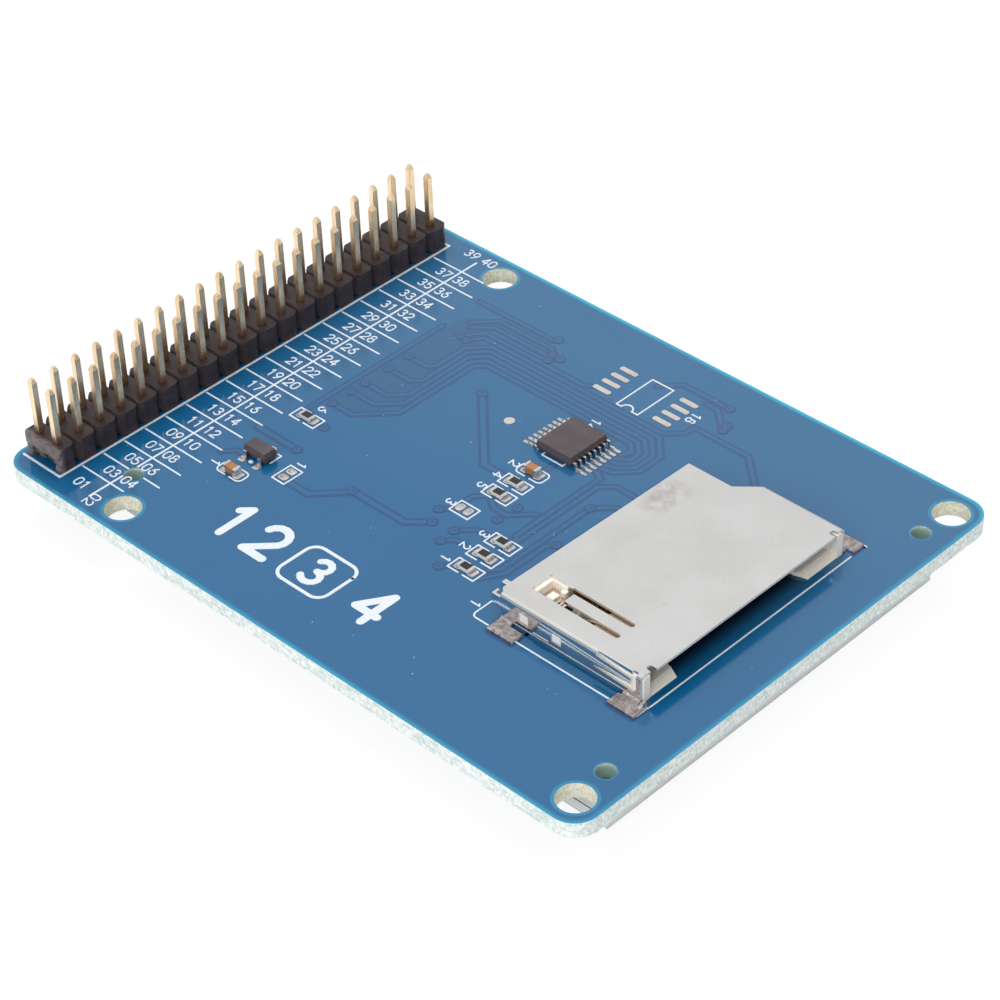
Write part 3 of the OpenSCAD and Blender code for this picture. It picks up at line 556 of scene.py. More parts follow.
def add_stroke(mesh, points, width, z, rise=0.0, shoulder=0.0):
    """A flat line with round ends at height z, or with rise a low bar standing there."""
    points = [Vector(p) for p in points]
    rims = [(width / 2 - shoulder, z + rise)]
    if rise:
        rims.insert(0, (width / 2, z))
    rings = []
    for half, height in rims:
        left, right = stroke_sides(points, half)
        loop = left + cap(points[-1], left[-1]) + right[::-1] + cap(points[0], right[0])
        rings.append([mesh.verts.new(at(p.x, p.y, height)) for p in loop])
    top, n, caps = rings[-1], len(points), CAP_STEPS - 1
    for i in range(n - 1):
        mirror = 2 * n + caps - 1 - i
        mesh.faces.new((top[i + 1], top[i], top[mirror], top[mirror - 1]))
    mesh.faces.new([top[n - 1 + k] for k in range(caps + 2)][::-1])
    mesh.faces.new([top[(2 * n + caps - 1 + k) % len(top)] for k in range(caps + 2)][::-1])
    if rise:
        add_wall(mesh, rings[1], rings[0])


def add_wall(mesh, upper, lower):
    """Faces between two loops with as many points."""
    for i in range(len(upper)):
        j = (i + 1) % len(upper)
        mesh.faces.new((upper[i], upper[j], lower[j], lower[i]))


def circle(x, y, radius, z, steps):
    """Points of a circle, anticlockwise."""
    return [at(x + radius * math.cos(2 * math.pi * k / steps),
               y + radius * math.sin(2 * math.pi * k / steps), z) for k in range(steps)]


def add_turned(mesh, x, y, profile, steps=20, closed=True):
    """A low turned shape from (radius, height) pairs, from its rim to its middle."""
    loops = [[mesh.verts.new(p) for p in circle(x, y, r, z, steps)] for r, z in profile]
    for outer, inner in zip(loops, loops[1:]):
        add_wall(mesh, inner[::-1], outer[::-1])
    if closed:
        mesh.faces.new(loops[-1])


def rounded_loop(x0, x1, y0, y1, radius, steps=6):
    """Corner points of a rectangle with round corners, anticlockwise."""
    loop = []
    centres = ((x1 - radius, y1 - radius, 0), (x0 + radius, y1 - radius, 1),
               (x0 + radius, y0 + radius, 2), (x1 - radius, y0 + radius, 3))
    for x, y, quarter in centres:
        for k in range(steps + 1):
            angle = math.pi / 2 * (quarter + k / steps)
            loop.append(Vector((x + radius * math.cos(angle), y + radius * math.sin(angle))))
    return loop


def add_object(name, data):
    """A new object in the scene."""
    made = bpy.data.objects.new(name, data)
    bpy.context.scene.collection.objects.link(made)
    return made


def finish_piece(name, mesh, material):
    """Turns the built mesh into a piece that rides the part's root body."""
    data = bpy.data.meshes.new(name)
    mesh.to_mesh(data)
    mesh.free()
    data.materials.append(material)
    piece = add_object(name, data)
    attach(piece, "root")


# ---- tracks and vias

ZONE_Z = 0.002
GAP_Z = 0.004
TRACK_Z = 0.012
TRACK_STEP = 0.0001
NARROW, WIDE = 0.34, 0.52
GAP = 0.28
VIA_Z = 0.019
VIA_STEP = 0.0002
VIA_R, VIA_GAP_R = 0.36, 0.6
VIA_CROWN = [(0.3, 0.028), (0.2, 0.03)]
VIA_DIMPLE = [(0.2, 0.03), (0.12, 0.024), (0.06, 0.022)]
# The socket's solder feet: length, half width, and how far in the near one starts
FOOT_L, FOOT_HALF, FOOT_IN = 2.95, 0.95, 1.1
FOOT_LINE, FOOT_LINE_Z = 0.34, 0.024


def bus_tracks():
    """The bus from the header's tracks past the empty footprint to the controller."""
    right_ends = [
        [(32.3, 16.9), (33.1, 17.4)],
        [(42.9, 16.2), (44.4, 17.7), (44.4, 18.83), (51.05, 18.83), (54.3, 15.9)],
        [(43.0, 15.6), (45.1, 13.4), (45.1, 10.6), (43.4, 8.8), (42.2, 8.55)],
        [(42.6, 14.97), (44.5, 13.1), (44.5, 10.8), (43.3, 9.6), (42.2, 9.2)],
        [(42.3, 14.35), (43.9, 12.8), (43.9, 11.0), (43.0, 10.1), (42.2, 9.9)],
        [(42.0, 13.7), (43.3, 12.5), (43.3, 11.3), (42.2, 10.5)],
        [(41.7, 13.1), (42.6, 12.2), (42.2, 11.2)],
    ]
    left_ends = [
        [(17.9, 14.9), (19.3, 16.85)],
        [(18.8, 14.8), (19.9, 16.2)],
        [(16.5, 9.2), (19.0, 9.2), (19.6, 9.8), (19.6, 13.7), (21.4, 15.6)],
        [(16.5, 6.5), (19.5, 6.5), (20.3, 7.3), (20.3, 13.4), (21.85, 14.97)],
        [(16.5, 3.4), (19.5, 3.4), (20.95, 4.9), (20.95, 12.9), (22.3, 14.35)],
        [(16.5, 1.6), (19.6, 1.6), (21.6, 3.6), (21.6, 12.5), (22.75, 13.7)],
        [(16.5, -0.9), (19.2, -0.9), (22.3, 2.2), (22.3, 12.1), (23.25, 13.1)],
    ]
    return [left + right for left, right in zip(left_ends, right_ends)]


def narrow_tracks():
    return bus_tracks() + [
        [(15.2, 20.3), (25.3, 20.3)],
        [(17.0, 17.2), (19.0, 19.2), (25.9, 19.2), (26.6, 18.6)],
        [(17.6, 16.6), (19.4, 18.1), (27.3, 18.1), (27.7, 18.5)],
        [(15.35, 15.0), (15.35, -3.0)],
        [(45.0, 23.2), (39.3, 23.2), (37.6, 21.4)],
        [(42.9, 22.4), (44.3, 22.3), (46.7, 20.3)],
        [(38.5, -6.8), (40.0, -5.3), (42.0, -5.3)],
        [(38.6, -8.6), (39.6, -7.6), (42.0, -7.6)],
        [(41.0, -11.2), (42.1, -10.2)],
        [(35.3, -5.5), (36.4, -4.5)],
        [(36.3, -3.4), (36.3, -2.2), (37.5, -1.0)],
        [(38.0, -1.5), (38.9, -2.1), (40.5, -2.1), (42.4, -0.2)],
        [(42.2, 7.9), (43.15, 7.4), (43.15, -3.6), (43.9, -4.6)],
        [(47.4, 7.5), (45.1, 7.5), (43.8, 6.3), (43.8, -6.6)],
        [(47.4, 5.3), (46.9, 5.1), (45.4, 3.6), (45.4, -7.8), (44.4, -9.0)],
        [(46.7, -2.2), (46.1, -3.0), (46.1, -8.0), (44.9, -10.0)],
        [(38.6, 6.0), (38.6, 4.9)],
        [(14.2, -12.9), (15.2, -11.8), (16.3, -11.8)],
    ]


def wide_tracks():
    return [
        [(26.0, 9.6), (33.8, 1.9), (36.4, 1.9)],
        [(20.5, -11.9), (24.9, -11.9), (27.8, -8.9), (34.3, -8.9), (36.2, -7.2)],
        [(14.0, -8.05), (19.3, -8.05)],
        [(17.2, -4.05), (18.7, -4.05)],
    ]


VIAS = [
    (17.8, 14.9), (18.8, 14.8), (25.4, 20.7), (26.6, 18.6), (27.7, 18.5), (26.0, 9.6),
    (27.6, -8.9), (36.2, -7.2), (19.3, -8.05), (18.7, -4.05), (45.0, 23.2), (46.7, 20.3),
    (16.5, 9.2), (16.5, 6.5), (16.5, 3.4), (16.5, 1.6), (16.5, -0.9), (46.5, 21.1),
    (38.5, -6.8), (38.6, -8.6), (41.0, -11.2), (35.3, -5.5), (40.3, -3.1), (40.5, -0.7),
    (45.4, 3.6), (46.7, -2.2), (26.9, 17.6),
]

BARE_ZONE = [(15.9, -0.9), (19.3, -0.9), (21.4, 1.6), (21.4, 12.6), (19.6, 16.4),
             (17.4, 18.6), (15.9, 17.0)]


def add_tracks(gaps, tracks):
    """Every track over its isolation gap, each a hair above the one before."""
    layer = 0
    for paths, width in ((narrow_tracks(), NARROW), (wide_tracks(), WIDE)):
        for path in paths:
            add_stroke(gaps, path, width + 2 * GAP, GAP_Z + layer * TRACK_STEP)
            add_stroke(tracks, path, width, TRACK_Z + layer * TRACK_STEP)
            layer += 1


def add_vias(gaps, tracks):
    """A low ring of copper for each via, its gap, and the dimple over its hole."""
    for i, (x, y) in enumerate(VIAS):
        low = VIA_Z + i * VIA_STEP
        add_turned(gaps, x, y, [(VIA_GAP_R, low), (0.3, low)], closed=False)
        add_turned(tracks, x, y, [(VIA_R, low - 0.001)] + VIA_CROWN, closed=False)
        add_turned(gaps, x, y, VIA_DIMPLE)


def add_foot_lines(gaps):
    """A line of bare laminate round the pad of each solder foot of the card socket."""
    x0, x1, y0, y1 = extent("socket_shell")
    far = x1 - FOOT_L
    low, high = y0 + FOOT_HALF, y1 - FOOT_HALF
    for x, y in ((x0 + FOOT_IN, low), (far, low), (far, high)):
        loop = rounded_loop(x - 0.08, x + FOOT_L + 0.08, y - 1.1, y + 1.1, 0.2, 2)
        add_stroke(gaps, loop + [loop[0].lerp(loop[1], 0.5)], FOOT_LINE, FOOT_LINE_Z)


def copper_relief(finishes):
    """A field without copper, and the tracks and vias standing in their gaps."""
    zone, gaps, tracks = bmesh.new(), bmesh.new(), bmesh.new()
    zone.faces.new([zone.verts.new(at(x, y, ZONE_Z)) for x, y in BARE_ZONE])
    add_tracks(gaps, tracks)
    add_vias(gaps, tracks)
    add_foot_lines(gaps)
    finish_piece("bare_zones", zone, finishes["zone"])
    finish_piece("track_gaps", gaps, finishes["gap"])
    finish_piece("copper_tracks", tracks, finishes["track"])


# ---- bare borders

RING_Z = 0.003
MOUNT_RING_R, MOUNT_RING_W = 1.76, 0.3
LOCATE_RING_R, LOCATE_RING_W = 0.94, 0.12


def bare_borders(finishes):
    """Rings without copper round the holes, where the laminate shows through the mask."""
    rings = bmesh.new()
    for places, inner, width in ((mounting_holes(), MOUNT_RING_R, MOUNT_RING_W),
                                 (locating_holes(), LOCATE_RING_R, LOCATE_RING_W)):
        for x, y in places:
            add_turned(rings, x, y, [(inner + width, RING_Z), (inner, RING_Z)], steps=40,
                       closed=False)
    finish_piece("hole_borders", rings, finishes["border"])


# ---- white print

PRINT_Z = 0.036
PRINT_STEP = 2e-4
PRINT_LEVELS = 40
SHOULDER = 0.015
SHARP = 1.4
LINE = 0.17
TEXT_H = 1.05
TEXT_LINE = 0.16


def arc(x, y, rx, ry, start, end, steps=8):
    """Points of an arc between two angles in degrees."""
    return [(x + rx * math.cos(math.radians(start + (end - start) * k / steps)),
             y + ry * math.sin(math.radians(start + (end - start) * k / steps)))
            for k in range(steps + 1)]


DIGITS = {
    "0": [arc(0.3, 0.7, 0.3, 0.3, 0, 180) + arc(0.3, 0.3, 0.3, 0.3, 180, 360) + [(0.6, 0.7)]],
    "1": [[(0.1, 0.8), (0.32, 1.0), (0.32, 0.0)]],
    "2": [arc(0.3, 0.7, 0.3, 0.3, 165, -35) + [(0.0, 0.0), (0.62, 0.0)]],
    "3": [arc(0.28, 0.76, 0.26, 0.24, 150, -90) + arc(0.28, 0.26, 0.3, 0.26, 90, -150)],
    "4": [[(0.46, 0.0), (0.46, 1.0), (0.0, 0.3), (0.62, 0.3)]],
    "5": [[(0.56, 1.0), (0.08, 1.0), (0.04, 0.58)] + arc(0.28, 0.32, 0.31, 0.32, 120, -150)],
    "6": [[(0.5, 1.0), (0.18, 0.68)] + arc(0.3, 0.3, 0.3, 0.3, 150, 510, 14)],
    "7": [[(0.0, 1.0), (0.6, 1.0), (0.2, 0.0)]],
    "8": [arc(0.3, 0.76, 0.24, 0.24, 0, 360, 12), arc(0.3, 0.27, 0.3, 0.27, 90, 450, 14)],
    "9": [arc(0.3, 0.7, 0.3, 0.3, 0, 360, 14), [(0.6, 0.66), (0.42, 0.3), (0.16, 0.0)]],
}
ADVANCE = 0.86
DIGIT_W = 0.6


def text_width(text, height):
    return (ADVANCE * (len(text) - 1) + DIGIT_W) * height


def add_number(mesh, text, x, y, height=TEXT_H, line=TEXT_LINE, turn=0, side="left"):
    """Plain digits in single strokes. x, y is the middle of the side the text starts at."""
    width = text_width(text, height)
    shift = {"left": 0, "right": -width, "middle": -width / 2}[side]
    spin = Matrix.Rotation(math.radians(turn), 2)
    for i, digit in enumerate(text):
        for path in DIGITS[digit]:
            points = []
            for u, v in path:
                local = Vector((shift + (ADVANCE * i + u) * height, (v - 0.5) * height))
                points.append(Vector((x, y)) + spin @ local)
            add_print(mesh, points, line)


stroke_numbers = itertools.count(1)


def add_print(mesh, points, width=LINE):
    """A printed line, standing a hair above the copper, made anew at each sharp bend."""
    points = [Vector(p) for p in points]
    points = points[:1] + [p for q, p in zip(points, points[1:]) if (p - q).length > 1e-6]
    run = [points[0]]
    for i, point in enumerate(points[1:], 1):
        run.append(point)
        if i + 1 == len(points) or (point - points[i - 1]).angle(points[i + 1] - point) > SHARP:
            top = PRINT_Z + next(stroke_numbers) % PRINT_LEVELS * PRINT_STEP
            add_stroke(mesh, run, width, 0.0, top, SHOULDER)
            run = [point]


# The pin table: its near line and middle line, its ends, and where its rules run
TABLE_NEAR, TABLE_MIDDLE = 5.97, 10.2
TABLE_LOW, TABLE_HIGH = -25.4, 25.3
TABLE_GAP = (-21.5, -19.6)
RULE_START, RULE_END = 6.3, 14.1
SHORT_RULES = {-9: 12.0, 9: 13.2}
BROKEN_RULE, BREAK = -8, (9.75, 11.95)
ODD_X, EVEN_X = 9.75, 10.6
NEAR_LINE, MIDDLE_LINE, RULE_LINE = 0.26, 0.22, 0.18


def table_lines(mesh):
    """The lines of the pin table beside the header."""
    add_print(mesh, [(5.4, TABLE_HIGH), (TABLE_NEAR, TABLE_HIGH), (TABLE_NEAR, TABLE_LOW),
                     (0.75, TABLE_LOW)], NEAR_LINE)
    add_print(mesh, [(TABLE_MIDDLE, 24.9), (TABLE_MIDDLE, TABLE_GAP[1])], MIDDLE_LINE)
    add_print(mesh, [(TABLE_MIDDLE, TABLE_GAP[0]), (TABLE_MIDDLE, TABLE_LOW)], MIDDLE_LINE)
    for k in range(1 - ROWS // 2, ROWS // 2):
        y = -0.05 + PIN_PITCH * k
        runs = [(RULE_START, SHORT_RULES.get(k, RULE_END))]
        if k == BROKEN_RULE:
            runs = [(RULE_START, BREAK[0]), (BREAK[1], RULE_END)]
        for start, end in runs:
            add_print(mesh, [(start, y), (end, y)], RULE_LINE)


def pin_numbers(mesh):
    """A plain number for every pin; those of the end pins stand outside the table."""
    for row in range(1, ROWS - 1):
        y = 1.22 + PIN_PITCH * (row - ROWS / 2)
        add_number(mesh, f"{2 * row + 1:02d}", ODD_X, y, side="right")
        add_number(mesh, f"{2 * row + 2:02d}", EVEN_X, y)
    add_number(mesh, "01", 8.2, -24.6, side="middle")
    add_number(mesh, "02", 10.8, -25.6, turn=-90, side="middle")
    add_number(mesh, "39", 9.6, 25.75, side="right")
    add_number(mesh, "40", 10.4, 25.75)


# x0, x1, y0, y1 of the outlines printed round the small parts
SQUARE_BRACKETS = [
    (36.4, 39.5, 0.95, 2.45), (36.4, 39.5, -1.2, 0.35), (41.55, 44.7, -6.1, -4.5),
    (41.55, 44.7, -8.4, -6.8), (41.55, 44.7, -10.7, -9.15), (14.8, 18.0, -4.85, -3.3),
]
ROUND_BRACKETS = [(36.4, 39.6, 3.1, 4.7), (15.7, 18.9, -15.0, -13.5)]
JUMPER_BOXES = [(36.0, 38.3, -4.9, -3.25), (20.6, 22.2, -12.4, -10.05)]


def bracket_prints(mesh):
    """Brackets round the chip parts and boxes round the jumpers."""
    for x0, x1, y0, y1 in SQUARE_BRACKETS:
        centre = (x0 + x1) / 2
        for end, stop in ((x0, centre - 0.28), (x1, centre + 0.28)):
            add_print(mesh, [(stop, y1), (end, y1), (end, y0), (stop, y0)])
    for x0, x1, y0, y1 in ROUND_BRACKETS:
        centre, r = (x0 + x1) / 2, 0.5
        left = ([(centre - 0.3, y1)] + arc(x0 + r, y1 - r, r, r, 90, 180, 5)
                + arc(x0 + r, y0 + r, r, r, 180, 270, 5) + [(centre - 0.3, y0)])
        add_print(mesh, left)
        add_print(mesh, [(2 * centre - x, y) for x, y in left])
    for x0, x1, y0, y1 in JUMPER_BOXES:
        add_print(mesh, [(x0, y0), (x1, y0), (x1, y1), (x0, y1), (x0, y0)])


def footprint_print(mesh):
    """The empty footprint's outline, with the notch at its first pad's end."""
    x0, x1, y0, y1 = 36.56, 39.2, 16.8, 21.9
    notch = arc(37.8, y0, 0.65, 0.65, 180, 0, 10)
    add_print(mesh, [(x0, y0)] + notch + [(x1, y0), (x1, y1), (x0, y1), (x0, y0)])


def mark_prints(mesh):
    """Short lines and a dot at the chips' corners, then lines round the card socket."""
    by_chips = [
        [(36.72, 7.0), (36.72, 6.47), (39.3, 6.47), (39.3, 7.0)],
        arc(35.55, 6.75, 0.35, 0.35, 30, 140, 6),
        [(18.5, -9.7), (18.95, -9.7), (18.95, -11.1)],
        [(16.2, -9.5), (15.6, -9.7), (15.6, -10.2)],
    ]
    dot = [(17.4, -12.15), (17.5, -12.15)]
    by_socket = [
        [(67.06, -12.75), (67.06, 13.84)],
        [(65.3, 15.84), (67.2, 15.84)],
        [(47.8, -11.0)] + arc(48.3, -13.5, 0.5, 0.5, 180, 270, 5) + [(49.8, -14.0)],
        [(53.0, -14.0), (63.8, -14.0)],
    ]
    for line in by_chips:
        add_print(mesh, line)
    add_print(mesh, dot, 0.42)
    for line in by_socket:
        add_print(mesh, line)


def part_numbers(mesh):
    """Plain numbers where a board names its parts, read from the header's side."""
    places = [
        (43.45, 19.85, "18"), (37.1, 13.0, "14"), (35.8, 3.85, "2"), (35.8, 1.65, "4"),
        (35.8, -0.45, "5"), (16.6, -2.2, "6"), (35.4, -4.05, "3"), (40.9, -5.35, "3"),
        (40.8, -7.65, "2"), (40.7, -10.05, "1"), (21.35, -9.4, "1"), (15.05, -14.35, "1"),
        (47.0, -12.7, "1"),
    ]
    for x, y, text in places:
        add_number(mesh, text, x, y, height=0.98, turn=-90, side="middle")


def large_numbers(mesh):
    """Plain numerals on the free field, in bold strokes."""
    for x, text in ((22.9, "1"), (27.3, "2"), (40.6, "4")):
        add_number(mesh, text, x, -18.9, height=4.2, line=0.85, side="middle")
    loop = rounded_loop(30.6, 36.6, -21.6, -16.3, 1.2)
    add_print(mesh, loop + [loop[0]], 0.35)
    add_number(mesh, "3", 33.6, -18.95, height=3.2, line=0.7, side="middle")


def white_print(finishes):
    """All that is printed in white on the board."""
    mesh = bmesh.new()
    table_lines(mesh)
    pin_numbers(mesh)
    bracket_prints(mesh)
    footprint_print(mesh)
    mark_prints(mesh)
    part_numbers(mesh)
    large_numbers(mesh)
    finish_piece("white_print", mesh, finishes["print"])


# ---- solder joints

FILLET_STEPS = 5
PAD_Z = 0.04
CHIP_L = 1.6
RESISTOR_W, RESISTOR_H = 0.8, 0.45
CAPACITOR_W, CAPACITOR_H = 0.88, 0.8
RESISTORS = [(37.95, 1.7), (37.95, -0.45), (43.1, -5.3), (43.1, -7.6), (43.1, -9.9),
             (16.45, -4.05)]
CAPACITORS = [(37.95, 3.95), (17.3, -14.3)]
# Middle of each open jumper, and the step from there to its pads
JUMPERS = [((37.1, -4.05), (0.5, 0)), ((21.4, -11.2), (0, 0.5))]
# Controller: leads on a side, their pitch and how far out they reach from the middle
LEADS, LEAD_PITCH, LEAD_OUT = 8, 0.65, 3.2
# Regulator: its outer leads to either side of the middle, and how far out they reach
OUTER_LEADS, REGULATOR_OUT = 0.95, 1.4


def add_fillet(mesh, foot, top, height, swell=0.35):
    """A solder fillet that climbs from a pad's outline to a part's end. foot and top are
    rectangles (x0, x1, y0, y1); the slope between them is hollow."""
    loops = []
    for k in range(FILLET_STEPS + 1):
        t = k / FILLET_STEPS
        rect = [f + (g - f) * t ** swell for f, g in zip(foot, top)]
        radius = min(rect[1] - rect[0], rect[3] - rect[2]) * 0.28
        z = PAD_Z + height * t ** 1.9
        loops.append([mesh.verts.new(at(p.x, p.y, z)) for p in rounded_loop(*rect, radius, 3)])
    for lower, upper in zip(loops, loops[1:]):
        add_wall(mesh, upper[::-1], lower[::-1])
    mesh.faces.new(loops[-1])


def end_joints(mesh, x, y, width, height):
    """Joints under both ends of a chip resistor or capacitor, which lies along x."""
    for side in (-1, 1):
        end = x + side * CHIP_L / 2
        foot = sorted((end - side * 0.42, end + side * 0.42))
        top = sorted((end - side * 0.3, end + side * 0.02))
        add_fillet(mesh, (*foot, y - width / 2 - 0.12, y + width / 2 + 0.12),
                   (*top, y - width / 2 + 0.02, y + width / 2 - 0.02), height * 0.72)


def lead_joints(mesh, x, y, axis, side, width, reach):
    """A pad and a low joint under one lead's foot, which points along an axis."""
    along = sorted((side * -0.5, side * reach))
    tip = sorted((side * -0.35, side * 0.05))
    if axis == "x":
        foot = (x + along[0], x + along[1], y - width / 2, y + width / 2)
        top = (x + tip[0], x + tip[1], y - width / 3, y + width / 3)
    else:
        foot = (x - width / 2, x + width / 2, y + along[0], y + along[1])
        top = (x - width / 3, x + width / 3, y + tip[0], y + tip[1])
    add_fillet(mesh, foot, top, 0.13)


def chip_joints(mesh):
    """The joints of the controller's leads and of the regulator's three outer feet."""
    x, y = middle("touch_controller_body")
    x_reg, y_reg = middle("regulator_body")
    for side in (-1, 1):
        for i in range(LEADS):
            along = (i - (LEADS - 1) / 2) * LEAD_PITCH
            lead_joints(mesh, x + side * LEAD_OUT, y + along, "x", side, 0.36, 0.75)
        lead_joints(mesh, x_reg + side * OUTER_LEADS, y_reg - REGULATOR_OUT, "y", -1, 0.75, 0.4)
    lead_joints(mesh, x_reg, y_reg + REGULATOR_OUT, "y", 1, 0.75, 0.4)


def jumper_pads(mesh):
    """Two low domes of solder for each open jumper."""
    for (x, y), (step_x, step_y) in JUMPERS:
        for side in (-1, 1):
            cx, cy = x + side * step_x, y + side * step_y
            wide, tall = (0.36, 0.48) if step_x else (0.48, 0.36)
            add_fillet(mesh, (cx - wide, cx + wide, cy - tall, cy + tall),
                       (cx - 0.12, cx + 0.12, cy - 0.15, cy + 0.15), 0.12, swell=0.8)


def solder_joints(finishes):
    """Solder at the chip parts, at the chips' leads, on the jumpers and at one socket foot."""
    mesh = bmesh.new()
    for x, y in RESISTORS:
        end_joints(mesh, x, y, RESISTOR_W, RESISTOR_H)
    for x, y in CAPACITORS:
        end_joints(mesh, x, y, CAPACITOR_W, CAPACITOR_H)
    chip_joints(mesh)
    jumper_pads(mesh)
    add_fillet(mesh, (66.42, 67.08, -14.3, -12.5), (66.5, 66.8, -13.1, -12.64), 0.5, swell=0.7)
    finish_piece("solder_joints", mesh, finishes["solder"])


# ---- card lock

LOCK_Z = 1.75


def add_block(mesh, x0, x1, y0, y1, z0, z1):
    """A plain box."""
    low, high = ([mesh.verts.new(at(x, y, z)) for x, y in
                  ((x0, y0), (x1, y0), (x1, y1), (x0, y1))] for z in (z0, z1))
    add_wall(mesh, high, low)
    mesh.faces.new(high)
    mesh.faces.new(low[::-1])


def card_lock(finishes):
    """The moulded slider and the wire spring seen through the plate's square window, and
    brown blocks of painted shade behind the window and under the two slots, where the mouldings
    lie in shadow."""
    slider, spring, shade = bmesh.new(), bmesh.new(), bmesh.new()
    add_block(slider, 52.7, 53.5, -9.8, -8.9, LOCK_Z, 2.25)
    add_block(slider, 53.3, 53.8, -8.6, -8.1, LOCK_Z, 2.35)
    for k in range(3):
        x = 53.85 + 0.3 * k
        add_block(spring, x, x + 0.16, -9.95, -9.2, LOCK_Z, 2.2 - 0.1 * k)
    # Painted shade: warm brown blocks stand for the shadowed mouldings in the window and beneath
    # the two slots.
    add_block(shade, 51.98, 54.6, -10.15, -8.02, 1.11, 1.7)
    for y in (-10.4, -8.5):
        add_block(shade, 58.4, 61.7, y, y + 1.15, 1.9, 2.3)
        add_block(shade, 54.7, 58.4, y, y + 0.62, 1.6, 2.1)
    finish_piece("lock_slider", slider, finishes["socket_plastic"])
    finish_piece("lock_spring", spring, finishes["lead"])
    finish_piece("painted_shade_blocks", shade, finishes["shade"])


# ---- dust

SPECKS = 46
DUST_Z = 0.045
FIBRES = (0.04, 0.05, 0.06, 0.08, 0.16)


def dust(finishes):
    """Pale specks and short fibres that lie on the mask."""
    mesh = bmesh.new()
    rng = random.Random(7)
    for _ in range(SPECKS):
        x, y = rng.uniform(7, 71), rng.uniform(-26, 26)
        under_socket = 48 < x < 68 and -15.5 < y < 16.5
        if under_socket:
            continue
        heading = rng.uniform(0, math.pi)
        length = rng.choice(FIBRES)
        step = Vector((math.cos(heading), math.sin(heading))) * length
        start = Vector((x, y))
        add_stroke(mesh, [start, start + step], rng.uniform(0.045, 0.075), DUST_Z)
    finish_piece("dust_specks", mesh, finishes["dust"])


# ---- rounding of CAD edges


def soften(node, width):
    """Rounds the sharp edges of a CAD node by a width in millimetres."""
    piece = frame["nodes"][node]
    weld = piece.modifiers.new("weld", "WELD")
    weld.merge_threshold = 1e-6
    bevel = piece.modifiers.new("round", "BEVEL")
    bevel.width = width * MM
    bevel.segments = 2
    bevel.limit_method = "ANGLE"
    bevel.angle_limit = math.radians(32)
    bevel.use_clamp_overlap = True
    bevel.harden_normals = True


def dress_nodes(finishes):
    """Gives every CAD node the finish of its material slot, and rounds moulded edges."""
    for node in frame["nodes"].values():
        for i, slot in enumerate(node.data.materials):
            node.data.materials[i] = finishes[slot.name.split(".")[0]]
    for node, finish in (("touch_spacer", "spacer"), ("touch_glass", "glass_edge"),
                         ("touch_controller_leads", "lead"), ("regulator_leads", "lead"),
                         ("resistor_terminals", "lead"), ("capacitor_terminals", "lead"),
                         ("bare_pads", "pad")):
        frame["nodes"][node].data.materials[0] = finishes[finish]
    soften("header_body", 0.1)
    soften("header_pins", 0.04)
    soften("touch_controller_body", 0.05)
    soften("regulator_body", 0.05)
    for node in ("resistor_terminals", "capacitor_terminals", "capacitor_ceramics"):
        soften(node, 0.03)
    soften("socket_base", 0.05)


# ---- studio

FLOOR_HALF = 1.6
FLOOR_Z = -0.0002
ROOM_LIGHT = 0.58
# Name, place and side in metres, power in watts, and whether the metal mirrors it
LAMPS = [("key", (-0.25, 0.15, 0.55), 0.5, 2.6, False),
         ("fill", (0.18, -0.52, 0.3), 0.4, 1.7, True)]

# The fitted camera: where it stands in millimetres, where it looks, its roll and its lens
EYE = (156.92, -152.50, 176.91)
LOOK = (-0.56011, 0.54882, -0.62054)
ROLL = 2.366
LENS = 110.24
SENSOR = 36


def floor_finish():
    """White card. The camera sees it as plain white, darker only in the part's shadow,
    and from below it is clear."""
    made = Finish("floor_finish", roughness=0.9)
    grain = made.noise(0.05, detail=2)
    made.colour(made.mix(grain, (0.84, 0.84, 0.84, 1), (0.86, 0.86, 0.86, 1)))
    glow = made.node("ShaderNodeEmission")
    glow.inputs["Strength"].default_value = 0.9
    faint = made.node("ShaderNodeBsdfDiffuse")
    faint.inputs["Color"].default_value = (0.13, 0.13, 0.13, 1)
    lit = made.node("ShaderNodeAddShader")
    made.link(faint.outputs[0], lit.inputs[0])
    made.link(glow.outputs[0], lit.inputs[1])
    to_camera = made.node("ShaderNodeLightPath").outputs["Is Camera Ray"]
    card = made.mix_shaders(to_camera, made.shader.outputs[0], lit.outputs[0])
    from_below = made.node("ShaderNodeNewGeometry").outputs["Backfacing"]
    clear = made.node("ShaderNodeBsdfTransparent").outputs[0]
    made.link(made.mix_shaders(from_below, card, clear),
              made.tree.nodes["Material Output"].inputs["Surface"])
    return made.material


def floor():
    """A wide square of white card just beneath the part."""
    data = bpy.data.meshes.new("floor")
    corners = [(-FLOOR_HALF, -FLOOR_HALF, FLOOR_Z), (FLOOR_HALF, -FLOOR_HALF, FLOOR_Z),
               (FLOOR_HALF, FLOOR_HALF, FLOOR_Z), (-FLOOR_HALF, FLOOR_HALF, FLOOR_Z)]
    data.from_pydata(corners, [], [(0, 1, 2, 3)])
    data.materials.append(floor_finish())
    add_object("floor", data)


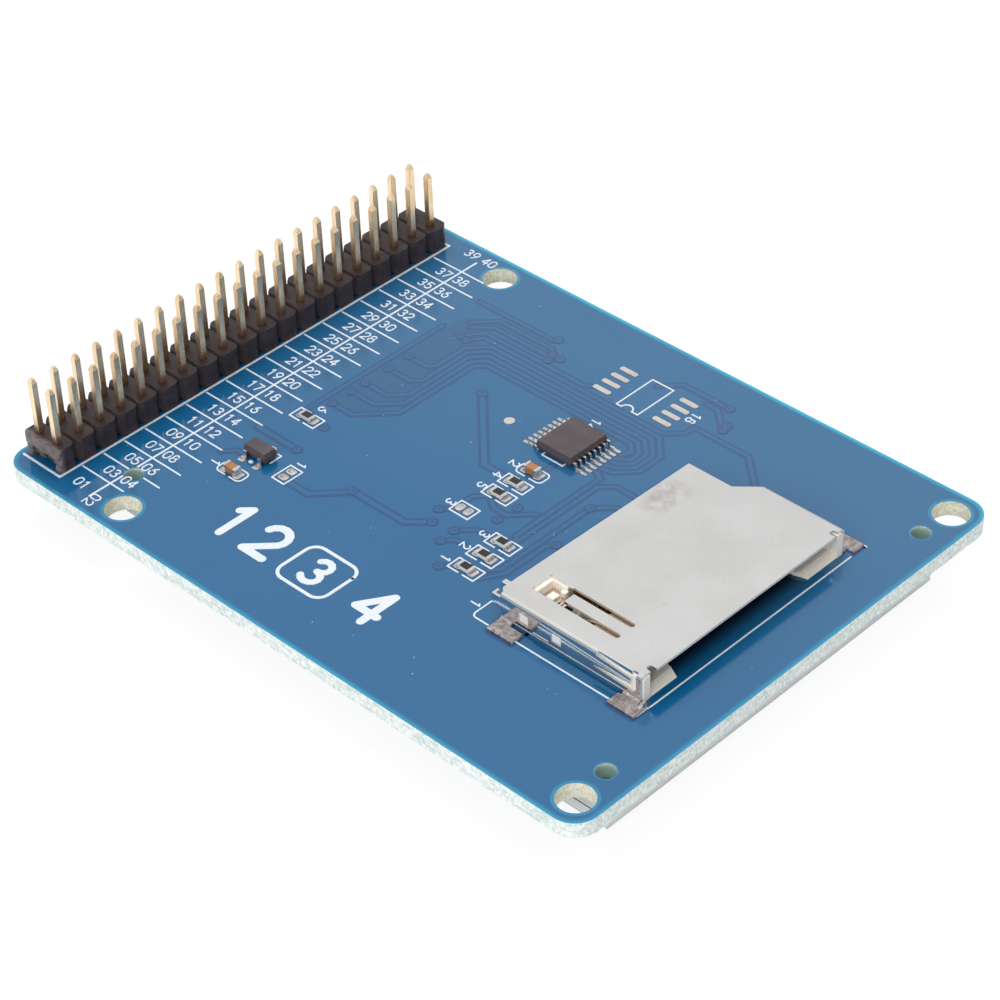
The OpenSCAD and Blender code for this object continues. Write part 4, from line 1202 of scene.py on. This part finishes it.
def room():
    """An even white room. The part's shiny faces mirror one that dims towards the ground
    and towards one side, and the camera sees plain white."""
    world = bpy.data.worlds.new("room")
    bpy.context.scene.world = world
    world.use_nodes = True
    made = Nodes(world.node_tree)
    even = made.tree.nodes["Background"]
    mirrored = made.node("ShaderNodeBackground")
    seen = made.node("ShaderNodeBackground")
    for shader, strength in ((even, ROOM_LIGHT), (mirrored, 1.0), (seen, 1.0)):
        shader.inputs["Color"].default_value = (1, 1, 1, 1)
        shader.inputs["Strength"].default_value = strength
    way = made.node("ShaderNodeSeparateXYZ")
    made.link(made.node("ShaderNodeTexCoord").outputs["Generated"], way.inputs[0])
    height = made.spread(way.outputs["Z"], 0.0, 0.8, 0.3, 1.0)
    side = made.spread(made.minus(way.outputs["Y"], way.outputs["X"]), -1.0, 0.2, 0.25, 1.0)
    made.link(made.times(height, side), mirrored.inputs["Color"])
    path = made.node("ShaderNodeLightPath")
    shown = made.mix_shaders(path.outputs["Is Glossy Ray"], even.outputs[0], mirrored.outputs[0])
    shown = made.mix_shaders(path.outputs["Is Camera Ray"], shown, seen.outputs[0])
    made.link(shown, made.tree.nodes["World Output"].inputs["Surface"])


def lamps():
    """Two soft boxes that face the part: a key over the header and a fill by the camera."""
    for name, place, size, power, mirrored in LAMPS:
        lamp = bpy.data.lights.new(name, "AREA")
        lamp.shape = "SQUARE"
        lamp.size = size
        lamp.energy = power
        holder = add_object(name, lamp)
        holder.location = place
        holder.rotation_euler = (-Vector(place)).to_track_quat("-Z", "Y").to_euler()
        holder.visible_glossy = mirrored


def camera():
    """The photograph's viewpoint: raised, over the corner by the card socket."""
    data = bpy.data.cameras.new("camera")
    data.sensor_width = SENSOR
    data.lens = LENS
    data.clip_start = 0.01
    holder = add_object("camera", data)
    forward = Vector(LOOK).normalized()
    right = forward.cross(Vector((0, 0, 1))).normalized()
    up = right.cross(forward)
    roll = math.radians(ROLL)
    across_view = right * math.cos(roll) - up * math.sin(roll)
    up_view = right * math.sin(roll) + up * math.cos(roll)
    turned = Matrix((across_view, up_view, -forward)).transposed().to_4x4()
    holder.matrix_world = Matrix.Translation(Vector(EYE) * MM) @ turned
    bpy.context.scene.camera = holder


bpy.context.scene.view_settings.view_transform = "Standard"
finishes = all_finishes()
dress_nodes(finishes)
bare_borders(finishes)
copper_relief(finishes)
white_print(finishes)
solder_joints(finishes)
card_lock(finishes)
dust(finishes)
floor()
room()
lamps()
camera()

bpy.context.view_layer.update()
